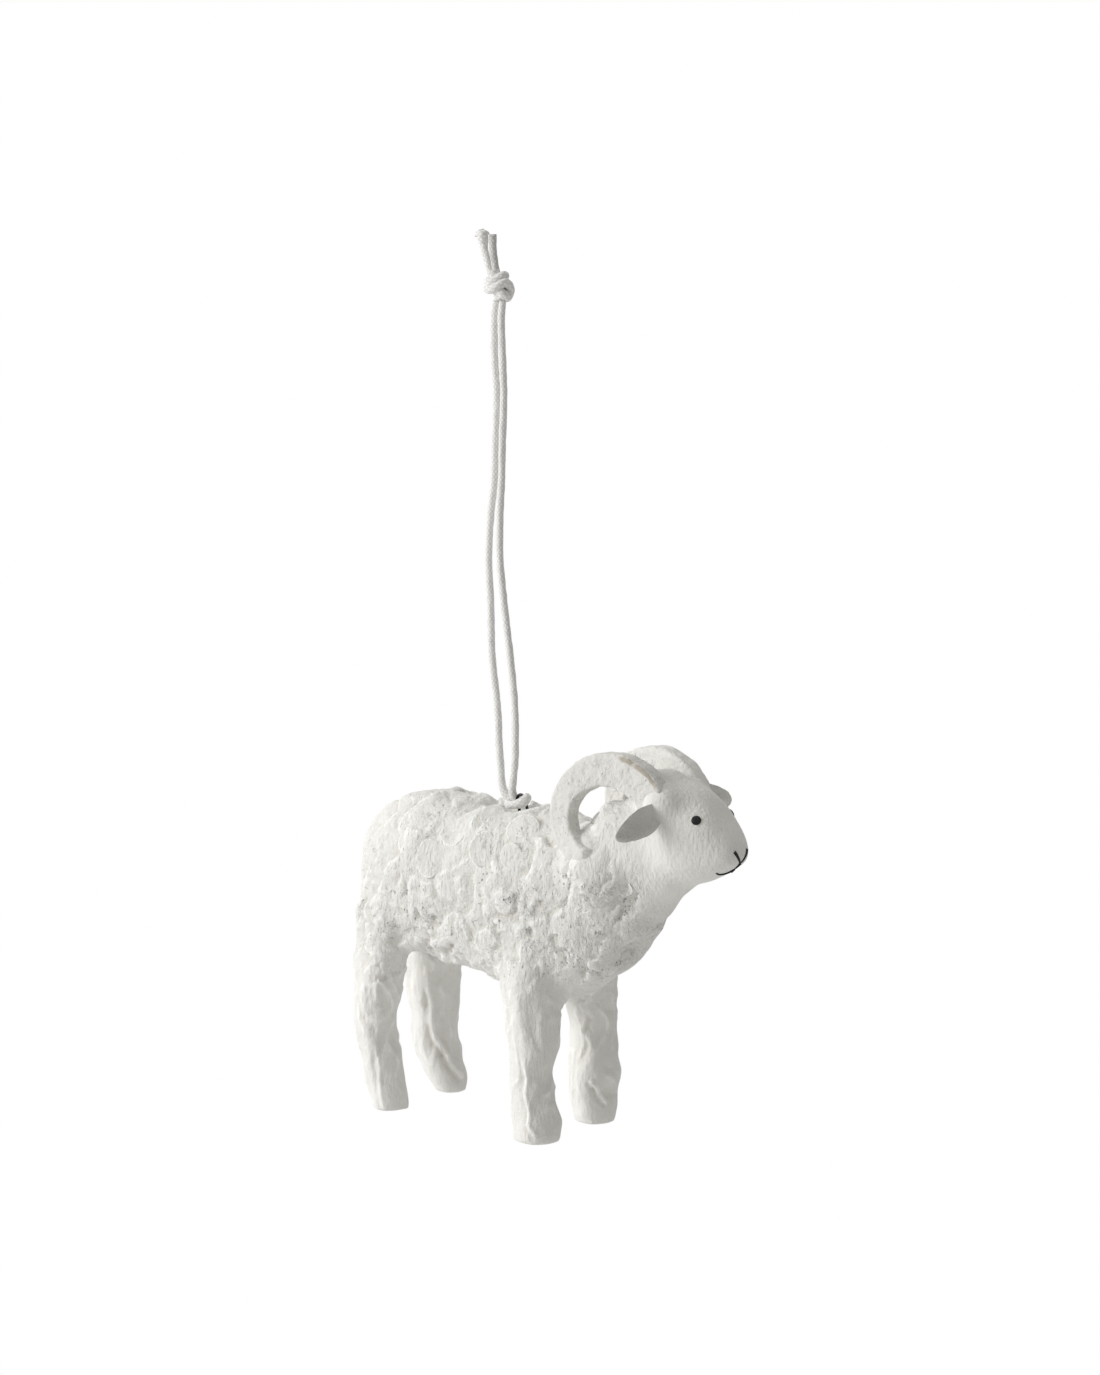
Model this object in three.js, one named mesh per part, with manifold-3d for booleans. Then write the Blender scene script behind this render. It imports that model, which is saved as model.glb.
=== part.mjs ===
// Papier-mache ram ornament on a doubled cord. Millimetres, +Z up, +X to the nose, +Y to the ram's left.
// The origin is inside the cord loop, just under its knot, where a hook or a twig carries the ornament.
// The ram is drawn in its own group, with its soles at z = 0 and the middle of its stance at x = 0.

import * as THREE from 'three';
import { mergeVertices } from 'three/addons/utils/BufferGeometryUtils.js';
import Module from 'manifold-3d';

// Fits
const FIT = 0.3;

// Torso: a pulp shell round a wadded core
const BODY_LENGTH = 90;
const BODY_AHEAD = 6;
const BODY_WIDTH = 29;
const BACK_HEIGHT = 79;
const BELLY_HEIGHT = 37;
const BODY_ROUND = 3.2;
const BODY_SQUARE = 2.4;
const SHELL_WALL = 3;

// Neck
const NECK_BACK_X = 33;
const NECK_BACK_Z = 60;
const NECK_BACK_DEPTH = 32;
const NECK_BACK_WIDTH = 24;
const NECK_FRONT_X = 61;
const NECK_FRONT_Z = 76;
const NECK_FRONT_DEPTH = 20;
const NECK_FRONT_WIDTH = 17;

// Head
const HEAD_LENGTH = 29;
const NOSE_X = 76;
const CROWN_HEIGHT = 87.5;
const JAW_HEIGHT = 66;
const HEAD_WIDTH = 20;
const HEAD_ROUND = 2.5;
const HEAD_SQUARE = 2.2;
const HEAD_WALL = 3.2;

// Legs: feet stand in a rectangle
const STANCE_LENGTH = 48.6;
const STANCE_WIDTH = 22.6;
const LEG_ROOT = 51;
const ROOT_SPACING = 17;
const ROOT_THICK = 9;
const FRONT_FOOT = 12.2;
const FRONT_SHANK = 11.6;
const FRONT_THIGH = 18;
const REAR_FOOT = 10.2;
const REAR_SHANK = 10.8;
const REAR_THIGH = 18;
const HOCK_BACK = 3.9;
const SHANK_SHARE = 0.4;
const THIGH_SHARE = 0.65;
const FRONT_ROOT_BACK = 2.5;
const REAR_ROOT_BACK = 2;

// Horns: flat straps bent into open rings
const HORN_X = 45.4;
const HORN_Z = 80.7;
const HORN_REACH = 12.2;
const HORN_RISE = 10.7;
const HORN_BASE_WIDTH = 8;
const HORN_TIP_WIDTH = 5;
const HORN_BASE_THICK = 6.4;
const HORN_TIP_THICK = 4.2;
const HORN_BASE_Y = 6.8;
const HORN_SPLAY = 6;
const HORN_START = 12;
const HORN_END = 252;
const HORN_SQUARE = 4;

// Ears: cupped leaves that stand out sideways
const EAR_LENGTH = 18;
const EAR_WIDTH = 10;
const EAR_THICK = 1.6;
const EAR_CUP = 2.4;
const EAR_X = 56.8;
const EAR_Z = 82.9;
const EAR_ROOT_Y = 8;
const EAR_SWEEP = 8;
const EAR_DROOP = 10;
const EAR_TILT = 41;

// Eyes: black domes in shallow sockets
const EYE_WIDTH = 2.45;
const EYE_DEPTH = 1.2;
const EYE_AHEAD = 0.45;
const EYE_TURN = 36;

// Armature wires
const SPINE_WIRE = 1.6;
const SPINE_TAIL_X = -30;
const SPINE_NOSE_X = 66;
const SPINE_HEIGHT = 61.5;
const LEG_WIRE = 1.4;
const LEG_WIRE_FOOT = 9;
const HOOP_NARROW = 0.85;

// Hanging eye: a hairpin of thin wire
const PIN_WIRE = 0.9;
const PIN_X = 11.3;
const PIN_BOW = 2.2;
const PIN_RISE = 0.9;
const PIN_DEPTH = 9;

// Cord
const CORD = 1.8;
const WRAP = 1;
const HITCH_LENGTH = 3;
const HITCH_BACK = 2.8;
const HITCH_RISE = 0.6;
const BIGHT_LENGTH = 4.6;
const DROP = 117.5;
const LEAN = 7;
const KNOT_WIDTH = 6.4;
const KNOT_HEIGHT = 7.2;
const KNOT_GAP = 2;
const KNOT_RIDGE = 0.08;
const TAIL_LENGTH = 9.5;
const TAIL_LEAN = 3.4;
const TAIL_BACK = 1.3;

// Route of the strands: height, middle of the pair along X, half the space between them
const STRAND_ROUTE = [[-115, 4.2, 1.05], [-111, 2.2, 1.9], [-106.5, 1.8, 2.5], [-96, 1.4, 2.8],
  [-84.5, -0.1, 2.9], [-72.5, -1.2, 2.2], [-61, -2.2, 1.8], [-50.5, -2, 1.5], [-41.5, -1.6, 1.05],
  [-21.5, -1, 1.05]];

// Curls of pulp on the fleece
const CURL_WIDTH = 7.4;
const CURL_RIDGE = 2.2;
const CURL_PROUD = 1;
const CURL_SWEEP = 300;
const CURL_CLOSING = 0.7;
const CURL_TIP = 0.35;
const CURL_TURN = 2.4;

// Rows of curls on each side: height on the flank in degrees, first and last place along the body, count
const CURL_ROWS = [[64, -0.6, -0.1, 3], [42, -0.68, 0.34, 5], [18, -0.56, 0.22, 4]];

const wasm = await Module();
wasm.setup();

const pulp = new THREE.MeshStandardMaterial({ color: 0xf0efe9, roughness: 0.9, metalness: 0 });
const newsprint = new THREE.MeshStandardMaterial({ color: 0xb9b4a8, roughness: 0.95, metalness: 0 });
const blackPaint = new THREE.MeshStandardMaterial({ color: 0x161616, roughness: 0.45, metalness: 0 });
const armature = new THREE.MeshStandardMaterial({ color: 0x8d8f92, roughness: 0.4, metalness: 1 });
const darkWire = new THREE.MeshStandardMaterial({ color: 0x1b1b1c, roughness: 0.5, metalness: 0.8 });
const cotton = new THREE.MeshStandardMaterial({ color: 0xd8d6d0, roughness: 0.95, metalness: 0 });

const SIDES = [['right', -1], ['left', 1]];

// A smooth line through stations of [place, value]
function lineThrough(stations) {
  const slope = (i) => {
    const before = stations[Math.max(i - 1, 0)];
    const after = stations[Math.min(i + 1, stations.length - 1)];
    return (after[1] - before[1]) / (after[0] - before[0]);
  };
  return (place) => {
    const last = stations.length - 2;
    let i = 0;
    while (i < last && place > stations[i + 1][0]) i += 1;
    const span = stations[i + 1][0] - stations[i][0];
    const t = THREE.MathUtils.clamp((place - stations[i][0]) / span, 0, 1);
    const rise = stations[i + 1][1] - stations[i][1];
    const ease = t * t * (3 - 2 * t);
    const leave = t * (1 - t) * (1 - t) * slope(i) * span;
    const arrive = t * t * (t - 1) * slope(i + 1) * span;
    return stations[i][1] + rise * ease + leave + arrive;
  };
}

// Only the places of a geometry's vertices, each vertex once, with its faces turned outwards
function closed(geometry) {
  geometry.deleteAttribute('normal');
  geometry.deleteAttribute('uv');
  const merged = mergeVertices(geometry, 1e-4);
  const index = merged.index.array;
  const corner = (n) => new THREE.Vector3().fromBufferAttribute(merged.attributes.position, index[n]);
  let volume = 0;
  for (let n = 0; n < index.length; n += 3) {
    volume += corner(n).dot(corner(n + 1).cross(corner(n + 2)));
  }
  if (volume < 0) {
    for (let n = 0; n < index.length; n += 3) {
      const first = index[n];
      index[n] = index[n + 1];
      index[n + 1] = first;
    }
  }
  return merged;
}

function solid(geometry) {
  const whole = closed(geometry);
  const vertProperties = new Float32Array(whole.attributes.position.array);
  const triVerts = new Uint32Array(whole.index.array);
  return new wasm.Manifold(new wasm.Mesh({ numProp: 3, vertProperties, triVerts }));
}

function geometryOf(body) {
  const mesh = body.getMesh();
  const geometry = new THREE.BufferGeometry();
  geometry.setAttribute('position', new THREE.BufferAttribute(mesh.vertProperties, 3));
  geometry.setIndex(new THREE.BufferAttribute(mesh.triVerts, 1));
  geometry.computeVertexNormals();
  return geometry;
}

function piece(group, name, body, material) {
  const mesh = new THREE.Mesh(geometryOf(body), material);
  mesh.name = name;
  group.add(mesh);
}

// A geometry whose every vertex is moved by a rule
function shaped(geometry, rule) {
  const at = geometry.attributes.position;
  const place = new THREE.Vector3();
  for (let i = 0; i < at.count; i += 1) {
    place.fromBufferAttribute(at, i);
    const moved = rule(place);
    at.setXYZ(i, moved.x, moved.y, moved.z);
  }
  return geometry;
}

// A round bar along a curve
function bar(curve, diameter, sides, steps) {
  const section = new THREE.Shape();
  section.absarc(0, 0, diameter / 2, 0, 2 * Math.PI);
  const points = section.getSpacedPoints(sides).slice(0, sides);
  const extrude = { steps, extrudePath: curve, bevelEnabled: false };
  return solid(new THREE.ExtrudeGeometry(new THREE.Shape(points), extrude));
}

function curveThrough(points) {
  return new THREE.CatmullRomCurve3(points.map(([x, y, z]) => new THREE.Vector3(x, y, z)));
}

// Rounded bodies along X, told by a top line, a bottom line and a half width from rear (-1) to front (1)
function roundedForm({ middle, length, round, square, top, bottom, half }) {
  const section = (along, grow) => {
    const high = top(along) + grow;
    const low = bottom(along) - grow;
    const fullness = Math.pow(Math.max(1 - Math.pow(Math.abs(along), round), 0), 1 / round);
    const wide = (half(along) + grow) * fullness;
    return { centre: (high + low) / 2, wide, tall: ((high - low) / 2) * fullness };
  };
  const point = (along, turn, grow = 0) => {
    const { centre, wide, tall } = section(along, grow);
    const x = middle + (length / 2 + grow) * along;
    if (wide < 1e-6) return new THREE.Vector3(x, 0, centre);
    const across = Math.pow(Math.abs(Math.cos(turn) / wide), square);
    const upright = Math.pow(Math.abs(Math.sin(turn) / tall), square);
    const reach = Math.pow(across + upright, -1 / square);
    return new THREE.Vector3(x, reach * Math.cos(turn), centre + reach * Math.sin(turn));
  };
  const body = (grow, around, rings) => {
    const sphere = new THREE.SphereGeometry(1, around, rings).rotateZ(-Math.PI / 2);
    return solid(shaped(sphere, (d) => point(d.x, Math.atan2(d.z, d.y), grow)));
  };
  const near = (place) => {
    const along = THREE.MathUtils.clamp((2 * (place.x - middle)) / length, -0.999, 0.999);
    return { along, turn: Math.atan2(place.z - section(along, 0).centre, place.y) };
  };
  const normal = (along, turn) => {
    const small = 0.01;
    const lengthwise = point(along + small, turn).sub(point(along - small, turn));
    const crosswise = point(along, turn + small).sub(point(along, turn - small));
    return crosswise.cross(lengthwise).normalize();
  };
  return { point, body, near, normal };
}

const torso = roundedForm({
  middle: BODY_AHEAD,
  length: BODY_LENGTH,
  round: BODY_ROUND,
  square: BODY_SQUARE,
  top: lineThrough([[-1, BACK_HEIGHT - 1], [-0.55, BACK_HEIGHT + 1.4], [0.11, BACK_HEIGHT - 0.6],
    [0.32, BACK_HEIGHT - 0.4], [1, BACK_HEIGHT - 6]]),
  bottom: lineThrough([[-1, BELLY_HEIGHT + 1], [-0.26, BELLY_HEIGHT], [0.13, BELLY_HEIGHT - 2.5],
    [0.42, BELLY_HEIGHT - 5], [1, BELLY_HEIGHT + 5]]),
  half: lineThrough([[-1, BODY_WIDTH / 2 - 0.5], [0, BODY_WIDTH / 2 - 0.3], [0.45, BODY_WIDTH / 2 + 0.5],
    [1, BODY_WIDTH / 2 - 2.5]]),
});

const head = roundedForm({
  middle: NOSE_X - HEAD_LENGTH / 2,
  length: HEAD_LENGTH,
  round: HEAD_ROUND,
  square: HEAD_SQUARE,
  top: lineThrough([[-1, CROWN_HEIGHT - 3], [-0.2, CROWN_HEIGHT + 1], [0.35, CROWN_HEIGHT - 2],
    [1, CROWN_HEIGHT - 10]]),
  bottom: lineThrough([[-1, JAW_HEIGHT + 3], [-0.1, JAW_HEIGHT - 2], [0.5, JAW_HEIGHT - 0.5],
    [1, JAW_HEIGHT + 1]]),
  half: lineThrough([[-1, HEAD_WIDTH / 2 - 1], [-0.1, HEAD_WIDTH / 2], [0.5, HEAD_WIDTH / 2 - 1.5],
    [1, HEAD_WIDTH / 2 - 2]]),
});

// The neck is a tapered plug from inside the torso to inside the head
function neckBody(grow) {
  const start = new THREE.Vector3(NECK_BACK_X, 0, NECK_BACK_Z);
  const end = new THREE.Vector3(NECK_FRONT_X, 0, NECK_FRONT_Z);
  const ahead = end.clone().sub(start).normalize();
  const upright = new THREE.Vector3(-ahead.z, 0, ahead.x);
  const tube = new THREE.CylinderGeometry(1, 1, 1, 18, 4);
  return solid(shaped(tube, (d) => {
    const t = d.y + 0.5;
    const tall = THREE.MathUtils.lerp(NECK_BACK_DEPTH, NECK_FRONT_DEPTH, t) / 2 + grow;
    const wide = THREE.MathUtils.lerp(NECK_BACK_WIDTH, NECK_FRONT_WIDTH, t) / 2 + grow;
    const spot = start.clone().lerp(end, t).addScaledVector(upright, d.x * tall);
    return spot.setY(d.z * wide);
  }));
}

// Legs: round columns from a flat sole up into the torso
function legForm(front) {
  const foot = (front ? 1 : -1) * (STANCE_LENGTH / 2);
  const shankAt = LEG_ROOT * SHANK_SHARE;
  const thighAt = LEG_ROOT * THIGH_SHARE;
  const sole = front ? FRONT_FOOT : REAR_FOOT;
  const shank = front ? FRONT_SHANK : REAR_SHANK;
  const thigh = front ? FRONT_THIGH : REAR_THIGH;
  const bend = front ? [[0, 0], [shankAt, 0], [LEG_ROOT, -FRONT_ROOT_BACK]]
    : [[0, 0], [shankAt, -HOCK_BACK], [thighAt, -HOCK_BACK], [LEG_ROOT, -REAR_ROOT_BACK]];
  return {
    foot,
    bend: lineThrough(bend),
    length: lineThrough([[0, sole], [shankAt, shank], [LEG_ROOT, thigh]]),
    thick: lineThrough([[0, sole], [shankAt, shank], [thighAt, shank], [LEG_ROOT, ROOT_THICK]]),
    splay: lineThrough([[0, STANCE_WIDTH / 2], [shankAt, STANCE_WIDTH / 2], [LEG_ROOT, ROOT_SPACING / 2]]),
  };
}

function legCentre(front, side, z) {
  const { foot, bend, splay } = legForm(front);
  return new THREE.Vector3(foot + bend(z), side * splay(z), z);
}

function legBody(front, side) {
  const { length, thick } = legForm(front);
  const column = new THREE.CylinderGeometry(1, 1, 1, 14, 8).rotateX(Math.PI / 2);
  return solid(shaped(column, (d) => {
    const z = (d.z + 0.5) * LEG_ROOT;
    const off = new THREE.Vector3((d.x * length(z)) / 2, (d.y * thick(z)) / 2, 0);
    return legCentre(front, side, z).add(off);
  }));
}

// Horns: a flat strap swept round an open ring, tapering to its tip
function hornBody(side, grow) {
  const strap = new THREE.CylinderGeometry(1, 1, 1, 12, 20);
  return solid(shaped(strap, (d) => {
    const t = d.y + 0.5;
    const turn = THREE.MathUtils.degToRad(THREE.MathUtils.lerp(HORN_START, HORN_END, t));
    const wide = THREE.MathUtils.lerp(HORN_BASE_WIDTH, HORN_TIP_WIDTH, t) / 2 + grow;
    const thick = THREE.MathUtils.lerp(HORN_BASE_THICK, HORN_TIP_THICK, t) / 2 + grow;
    const full = Math.pow(Math.abs(d.x), HORN_SQUARE) + Math.pow(Math.abs(d.z), HORN_SQUARE);
    const reach = full > 0 ? Math.pow(full, -1 / HORN_SQUARE) * Math.hypot(d.x, d.z) : 0;
    const out = d.x * reach * wide;
    const x = HORN_X + (HORN_REACH + out) * Math.cos(turn);
    const z = HORN_Z + (HORN_RISE + out) * Math.sin(turn);
    return new THREE.Vector3(x, side * (HORN_BASE_Y + HORN_SPLAY * t) + d.z * reach * thick, z);
  }));
}

// Ears: cupped leaves with the hollow turned forwards and down
function earBody(side) {
  const sweep = THREE.MathUtils.degToRad(EAR_SWEEP);
  const droop = THREE.MathUtils.degToRad(EAR_DROOP);
  const root = new THREE.Vector3(EAR_X, side * EAR_ROOT_Y, EAR_Z);
  const out = new THREE.Vector3(-Math.sin(sweep), side * Math.cos(sweep), -Math.sin(droop)).normalize();
  const tilt = THREE.MathUtils.degToRad(EAR_TILT);
  const hollow = new THREE.Vector3(Math.cos(tilt), 0, -Math.sin(tilt)).projectOnPlane(out).normalize();
  const across = hollow.clone().cross(out);
  const leaf = new THREE.SphereGeometry(1, 14, 10);
  return solid(shaped(leaf, (d) => {
    const along = ((d.y + 1) / 2) * EAR_LENGTH;
    const cup = EAR_CUP * d.x * d.x;
    const spot = root.clone().addScaledVector(out, along);
    spot.addScaledVector(across, (d.x * EAR_WIDTH) / 2);
    return spot.addScaledVector(hollow, cup + (d.z * EAR_THICK) / 2);
  }));
}

// Eyes: domes set on the head, looking out along its surface normal
function eyeBody(side, grow) {
  const turn = THREE.MathUtils.degToRad(EYE_TURN);
  const around = side < 0 ? Math.PI - turn : turn;
  const seat = head.point(EYE_AHEAD, around);
  const facing = head.normal(EYE_AHEAD, around);
  const radius = EYE_WIDTH / 2 + grow;
  const dome = new THREE.SphereGeometry(1, 10, 6).scale(radius, EYE_DEPTH / 2 + grow, radius);
  dome.applyQuaternion(new THREE.Quaternion().setFromUnitVectors(new THREE.Vector3(0, 1, 0), facing));
  return solid(dome.translate(seat.x, seat.y, seat.z));
}

// Armature: one wire down the length of the body, and one hoop for each pair of legs
function spineWire(grow) {
  const path = curveThrough([
    [SPINE_TAIL_X, 0, SPINE_HEIGHT],
    [0, 0, SPINE_HEIGHT],
    [NECK_BACK_X, 0, SPINE_HEIGHT + 2],
    [NECK_FRONT_X - 10, 0, NECK_FRONT_Z - 5],
    [SPINE_NOSE_X, 0, NECK_FRONT_Z],
  ]);
  return bar(path, SPINE_WIRE + 2 * grow, 6, 14);
}

function legWire(front, grow) {
  const under = SPINE_HEIGHT - (SPINE_WIRE + LEG_WIRE) / 2 - FIT;
  const arm = (side) => {
    const low = legCentre(front, side, LEG_WIRE_FOOT);
    const mid = legCentre(front, side, LEG_ROOT / 2);
    const top = legCentre(front, side, LEG_ROOT);
    const inward = top.y * HOOP_NARROW;
    return [[low.x, low.y, LEG_WIRE_FOOT - grow], [mid.x, mid.y, mid.z], [top.x, inward, LEG_ROOT]];
  };
  const crown = legCentre(front, 1, LEG_ROOT).x;
  const path = curveThrough([...arm(-1), [crown, 0, under], ...arm(1).reverse()]);
  return bar(path, LEG_WIRE + 2 * grow, 6, 24);
}

// Hanging eye: two legs down into the back, joined by a half-round bow
const pinFoot = torso.near(new THREE.Vector3(PIN_X, 0, BACK_HEIGHT));
const pinCentre = torso.point(pinFoot.along, Math.PI / 2).z + PIN_RISE;

function pinBody(grow) {
  const at = (x, z) => new THREE.Vector3(PIN_X + x, 0, pinCentre + z);
  const deep = -PIN_DEPTH - grow;
  const points = [at(-PIN_BOW, deep), at(-PIN_BOW, deep / 2)];
  for (let i = 0; i <= 12; i += 1) {
    const turn = Math.PI * (1 - i / 12);
    points.push(at(PIN_BOW * Math.cos(turn), PIN_BOW * Math.sin(turn)));
  }
  points.push(at(PIN_BOW, deep / 2), at(PIN_BOW, deep));
  return bar(new THREE.CatmullRomCurve3(points), PIN_WIRE + 2 * grow, 6, 26);
}

// Curls: half-round ridges that run in an open ring on the torso's surface and taper at both ends
function curlBody(along, turn, start) {
  const centre = torso.point(along, turn);
  const out = torso.normal(along, turn);
  const ahead = new THREE.Vector3(1, 0, 0).projectOnPlane(out).normalize();
  const upward = out.clone().cross(ahead);
  const sweep = THREE.MathUtils.degToRad(CURL_SWEEP);
  const reach = (CURL_WIDTH - CURL_RIDGE) / 2;
  const ring = new THREE.CylinderGeometry(1, 1, 1, 6, 10);
  return solid(shaped(ring, (d) => {
    const t = d.y + 0.5;
    const angle = start + sweep * t;
    const taper = THREE.MathUtils.lerp(CURL_TIP, 1, Math.sin(Math.PI * t));
    const radius = reach * THREE.MathUtils.lerp(1, CURL_CLOSING, t) + (d.x * taper * CURL_RIDGE) / 2;
    const spot = centre.clone();
    spot.addScaledVector(ahead, radius * Math.cos(angle)).addScaledVector(upward, radius * Math.sin(angle));
    const on = torso.near(spot);
    const proud = FIT + Math.max(d.z, 0) * taper * CURL_PROUD;
    return torso.point(on.along, on.turn).addScaledVector(torso.normal(on.along, on.turn), proud);
  }));
}

// The ram
const ram = new THREE.Group();
const torsoRoom = torso.body(FIT, 22, 20);
const headRoom = head.body(FIT, 18, 14);
const neckRoom = neckBody(FIT);
const spineRoom = spineWire(FIT);
const legWireRooms = [legWire(true, FIT), legWire(false, FIT)];
const wireRooms = legWireRooms.reduce((rooms, room) => rooms.add(room), spineRoom);
const pinRoom = pinBody(FIT);
const eyeRooms = eyeBody(-1, FIT).add(eyeBody(1, FIT));

const hollow = torso.body(-SHELL_WALL, 16, 14);
piece(ram, 'torso_shell', torso.body(0, 22, 20).subtract(hollow).subtract(wireRooms).subtract(pinRoom), pulp);
const core = torso.body(-SHELL_WALL - FIT, 16, 14).subtract(wireRooms).subtract(pinRoom);
piece(ram, 'paper_core', core, newsprint);
piece(ram, 'neck', neckBody(0).subtract(torsoRoom).subtract(headRoom).subtract(spineRoom), pulp);
const headHollow = head.body(-HEAD_WALL, 14, 10);
piece(ram, 'head', head.body(0, 18, 14).subtract(headHollow).subtract(spineRoom).subtract(eyeRooms), pulp);
piece(ram, 'head_core', head.body(-HEAD_WALL - FIT, 14, 10).subtract(spineRoom), newsprint);
piece(ram, 'spine_wire', spineWire(0), armature);
piece(ram, 'front_leg_wire', legWire(true, 0), armature);
piece(ram, 'rear_leg_wire', legWire(false, 0), armature);
piece(ram, 'hanging_eye', pinBody(0), darkWire);

for (const [sideName, side] of SIDES) {
  for (const front of [true, false]) {
    const leg = legBody(front, side).subtract(torsoRoom).subtract(legWireRooms[front ? 0 : 1]);
    piece(ram, `${front ? 'front' : 'rear'}_leg_${sideName}`, leg, pulp);
  }
  const horn = hornBody(side, 0).subtract(headRoom).subtract(neckRoom).subtract(torsoRoom);
  piece(ram, `horn_${sideName}`, horn, pulp);
  piece(ram, `ear_${sideName}`, earBody(side).subtract(headRoom).subtract(hornBody(side, FIT)), pulp);
  piece(ram, `eye_${sideName}`, eyeBody(side, 0), blackPaint);
}

for (const [sideName, side] of SIDES) {
  let number = 0;
  for (const [height, first, last, count] of CURL_ROWS) {
    for (let i = 0; i < count; i += 1) {
      number += 1;
      const lift = THREE.MathUtils.degToRad(height);
      const turn = side < 0 ? Math.PI - lift : lift;
      const along = THREE.MathUtils.lerp(first, last, i / (count - 1));
      piece(ram, `curl_${sideName}_${number}`, curlBody(along, turn, number * CURL_TURN), pulp);
    }
  }
}
ram.position.set(LEAN - PIN_X, 0, -DROP - pinCentre - PIN_BOW);

// The cord: a hitch round the wire's bow, two strands up to the knot, and two cut tails
const cord = new THREE.Group();
const wireTop = -DROP;

function hitchBody() {
  const centre = wireTop - PIN_BOW;
  const half = HITCH_LENGTH / PIN_BOW / 2;
  const points = [];
  for (let i = 0; i <= 8; i += 1) {
    const turn = Math.PI / 2 + half * (1 - i / 4);
    points.push([LEAN + PIN_BOW * Math.cos(turn), 0, centre + PIN_BOW * Math.sin(turn)]);
  }
  const bore = PIN_WIRE / 2 + FIT;
  const sleeve = bar(curveThrough(points), 2 * (bore + WRAP), 12, 8);
  const reach = bore + WRAP;
  const end = BIGHT_LENGTH / 2;
  const bight = curveThrough([[LEAN - end, -reach / 2, wireTop], [LEAN - end / 2, -reach, wireTop],
    [LEAN + end / 2, -reach, wireTop], [LEAN + end, -reach / 2, wireTop]]);
  const crossing = solid(new THREE.SphereGeometry(1, 12, 8).scale(CORD * 1.2, CORD, CORD * 0.9)
    .translate(LEAN - HITCH_BACK, 0, wireTop + HITCH_RISE));
  const wrapped = sleeve.add(bar(bight, CORD, 8, 12)).add(crossing);
  return wrapped.subtract(pinBody(FIT).translate(ram.position.toArray()));
}

// The strands bow apart above the hitch and come together under the knot
const apart = (CORD + FIT) / 2;

function strandBody(side) {
  const route = STRAND_ROUTE.map(([height, middle, half]) => [middle + side * half, 0, height]);
  return bar(curveThrough([...route, [side * apart, 0, KNOT_GAP - FIT]]), CORD, 8, 30);
}

function knotBody() {
  const lump = new THREE.SphereGeometry(1, 14, 12).rotateX(Math.PI / 2);
  return solid(shaped(lump, (d) => {
    const turn = Math.atan2(d.y, d.x);
    const ridge = 1 - KNOT_RIDGE * (1 + Math.cos(2 * turn + 5 * d.z));
    const z = KNOT_GAP + (KNOT_HEIGHT / 2) * (1 + d.z);
    return new THREE.Vector3((d.x * ridge * KNOT_WIDTH) / 2, (d.y * ridge * KNOT_WIDTH) / 2, z);
  }));
}

function tailBody(side) {
  const foot = KNOT_GAP + KNOT_HEIGHT / 2;
  const top = KNOT_GAP + KNOT_HEIGHT + TAIL_LENGTH;
  const x = side * apart - TAIL_BACK;
  const middle = [x - TAIL_LEAN / 3, 0, (foot + top) / 2];
  return bar(curveThrough([[x, 0, foot], middle, [x - TAIL_LEAN, 0, top]]), CORD, 8, 6);
}

const knot = knotBody();
piece(cord, 'cord_hitch', hitchBody(), cotton);
piece(cord, 'cord_strand_rear', strandBody(-1), cotton);
piece(cord, 'cord_strand_front', strandBody(1), cotton);
piece(cord, 'cord_knot', knot, cotton);
for (const [name, side] of [['rear', -1], ['front', 1]]) {
  piece(cord, `cord_tail_${name}`, tailBody(side).subtract(knot), cotton);
}

const ornament = new THREE.Group();
ornament.add(ram, cord);
export default ornament;
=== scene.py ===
# Papier-mache ram ornament on a knotted cord: what shows of it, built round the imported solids.
# Metres in the part's frame: origin in the cord loop under its knot, +Z up, +X the nose, +Y the ram's left.
# The ram is drawn in millimetres in its own frame: soles at z = 0 and the middle of its stance at x = 0.

import math
import random

import bpy
import numpy as np
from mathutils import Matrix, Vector, noise
from mathutils.bvhtree import BVHTree


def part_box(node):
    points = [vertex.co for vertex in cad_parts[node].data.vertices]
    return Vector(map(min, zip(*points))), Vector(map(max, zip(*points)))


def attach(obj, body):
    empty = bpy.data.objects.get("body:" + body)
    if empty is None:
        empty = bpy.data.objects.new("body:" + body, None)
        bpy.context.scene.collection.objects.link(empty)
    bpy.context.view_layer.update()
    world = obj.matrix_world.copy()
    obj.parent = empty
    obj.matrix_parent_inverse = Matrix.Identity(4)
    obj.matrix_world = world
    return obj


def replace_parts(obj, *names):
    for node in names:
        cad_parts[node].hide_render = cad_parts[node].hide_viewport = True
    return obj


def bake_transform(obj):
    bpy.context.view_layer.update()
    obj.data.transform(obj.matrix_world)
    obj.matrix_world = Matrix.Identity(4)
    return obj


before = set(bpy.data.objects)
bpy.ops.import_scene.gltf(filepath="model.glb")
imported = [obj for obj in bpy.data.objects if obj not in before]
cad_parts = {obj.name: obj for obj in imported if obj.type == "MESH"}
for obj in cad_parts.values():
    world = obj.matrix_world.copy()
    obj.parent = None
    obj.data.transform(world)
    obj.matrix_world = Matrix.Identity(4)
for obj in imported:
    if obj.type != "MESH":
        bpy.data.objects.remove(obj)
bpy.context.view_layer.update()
random.seed(11)
noise.seed_set(11)

MM = 0.001
RAM_AT = np.array((-4.3, 0.0, -198.98))

# Camera: the picture's frame in pixels, and where it was taken from, in millimetres
PICTURE_WIDE = 1100
PICTURE_TALL = 1375
FOCAL_PIXELS = 2500
SENSOR = 36
CLIP_START = 0.01
VIEW_AZIMUTH = math.radians(38.93)
VIEW_ELEVATION = math.radians(5.35)
VIEW_DISTANCE = 625
VIEW_TARGET = Vector((1.24, 17.38, -93.27))

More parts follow.
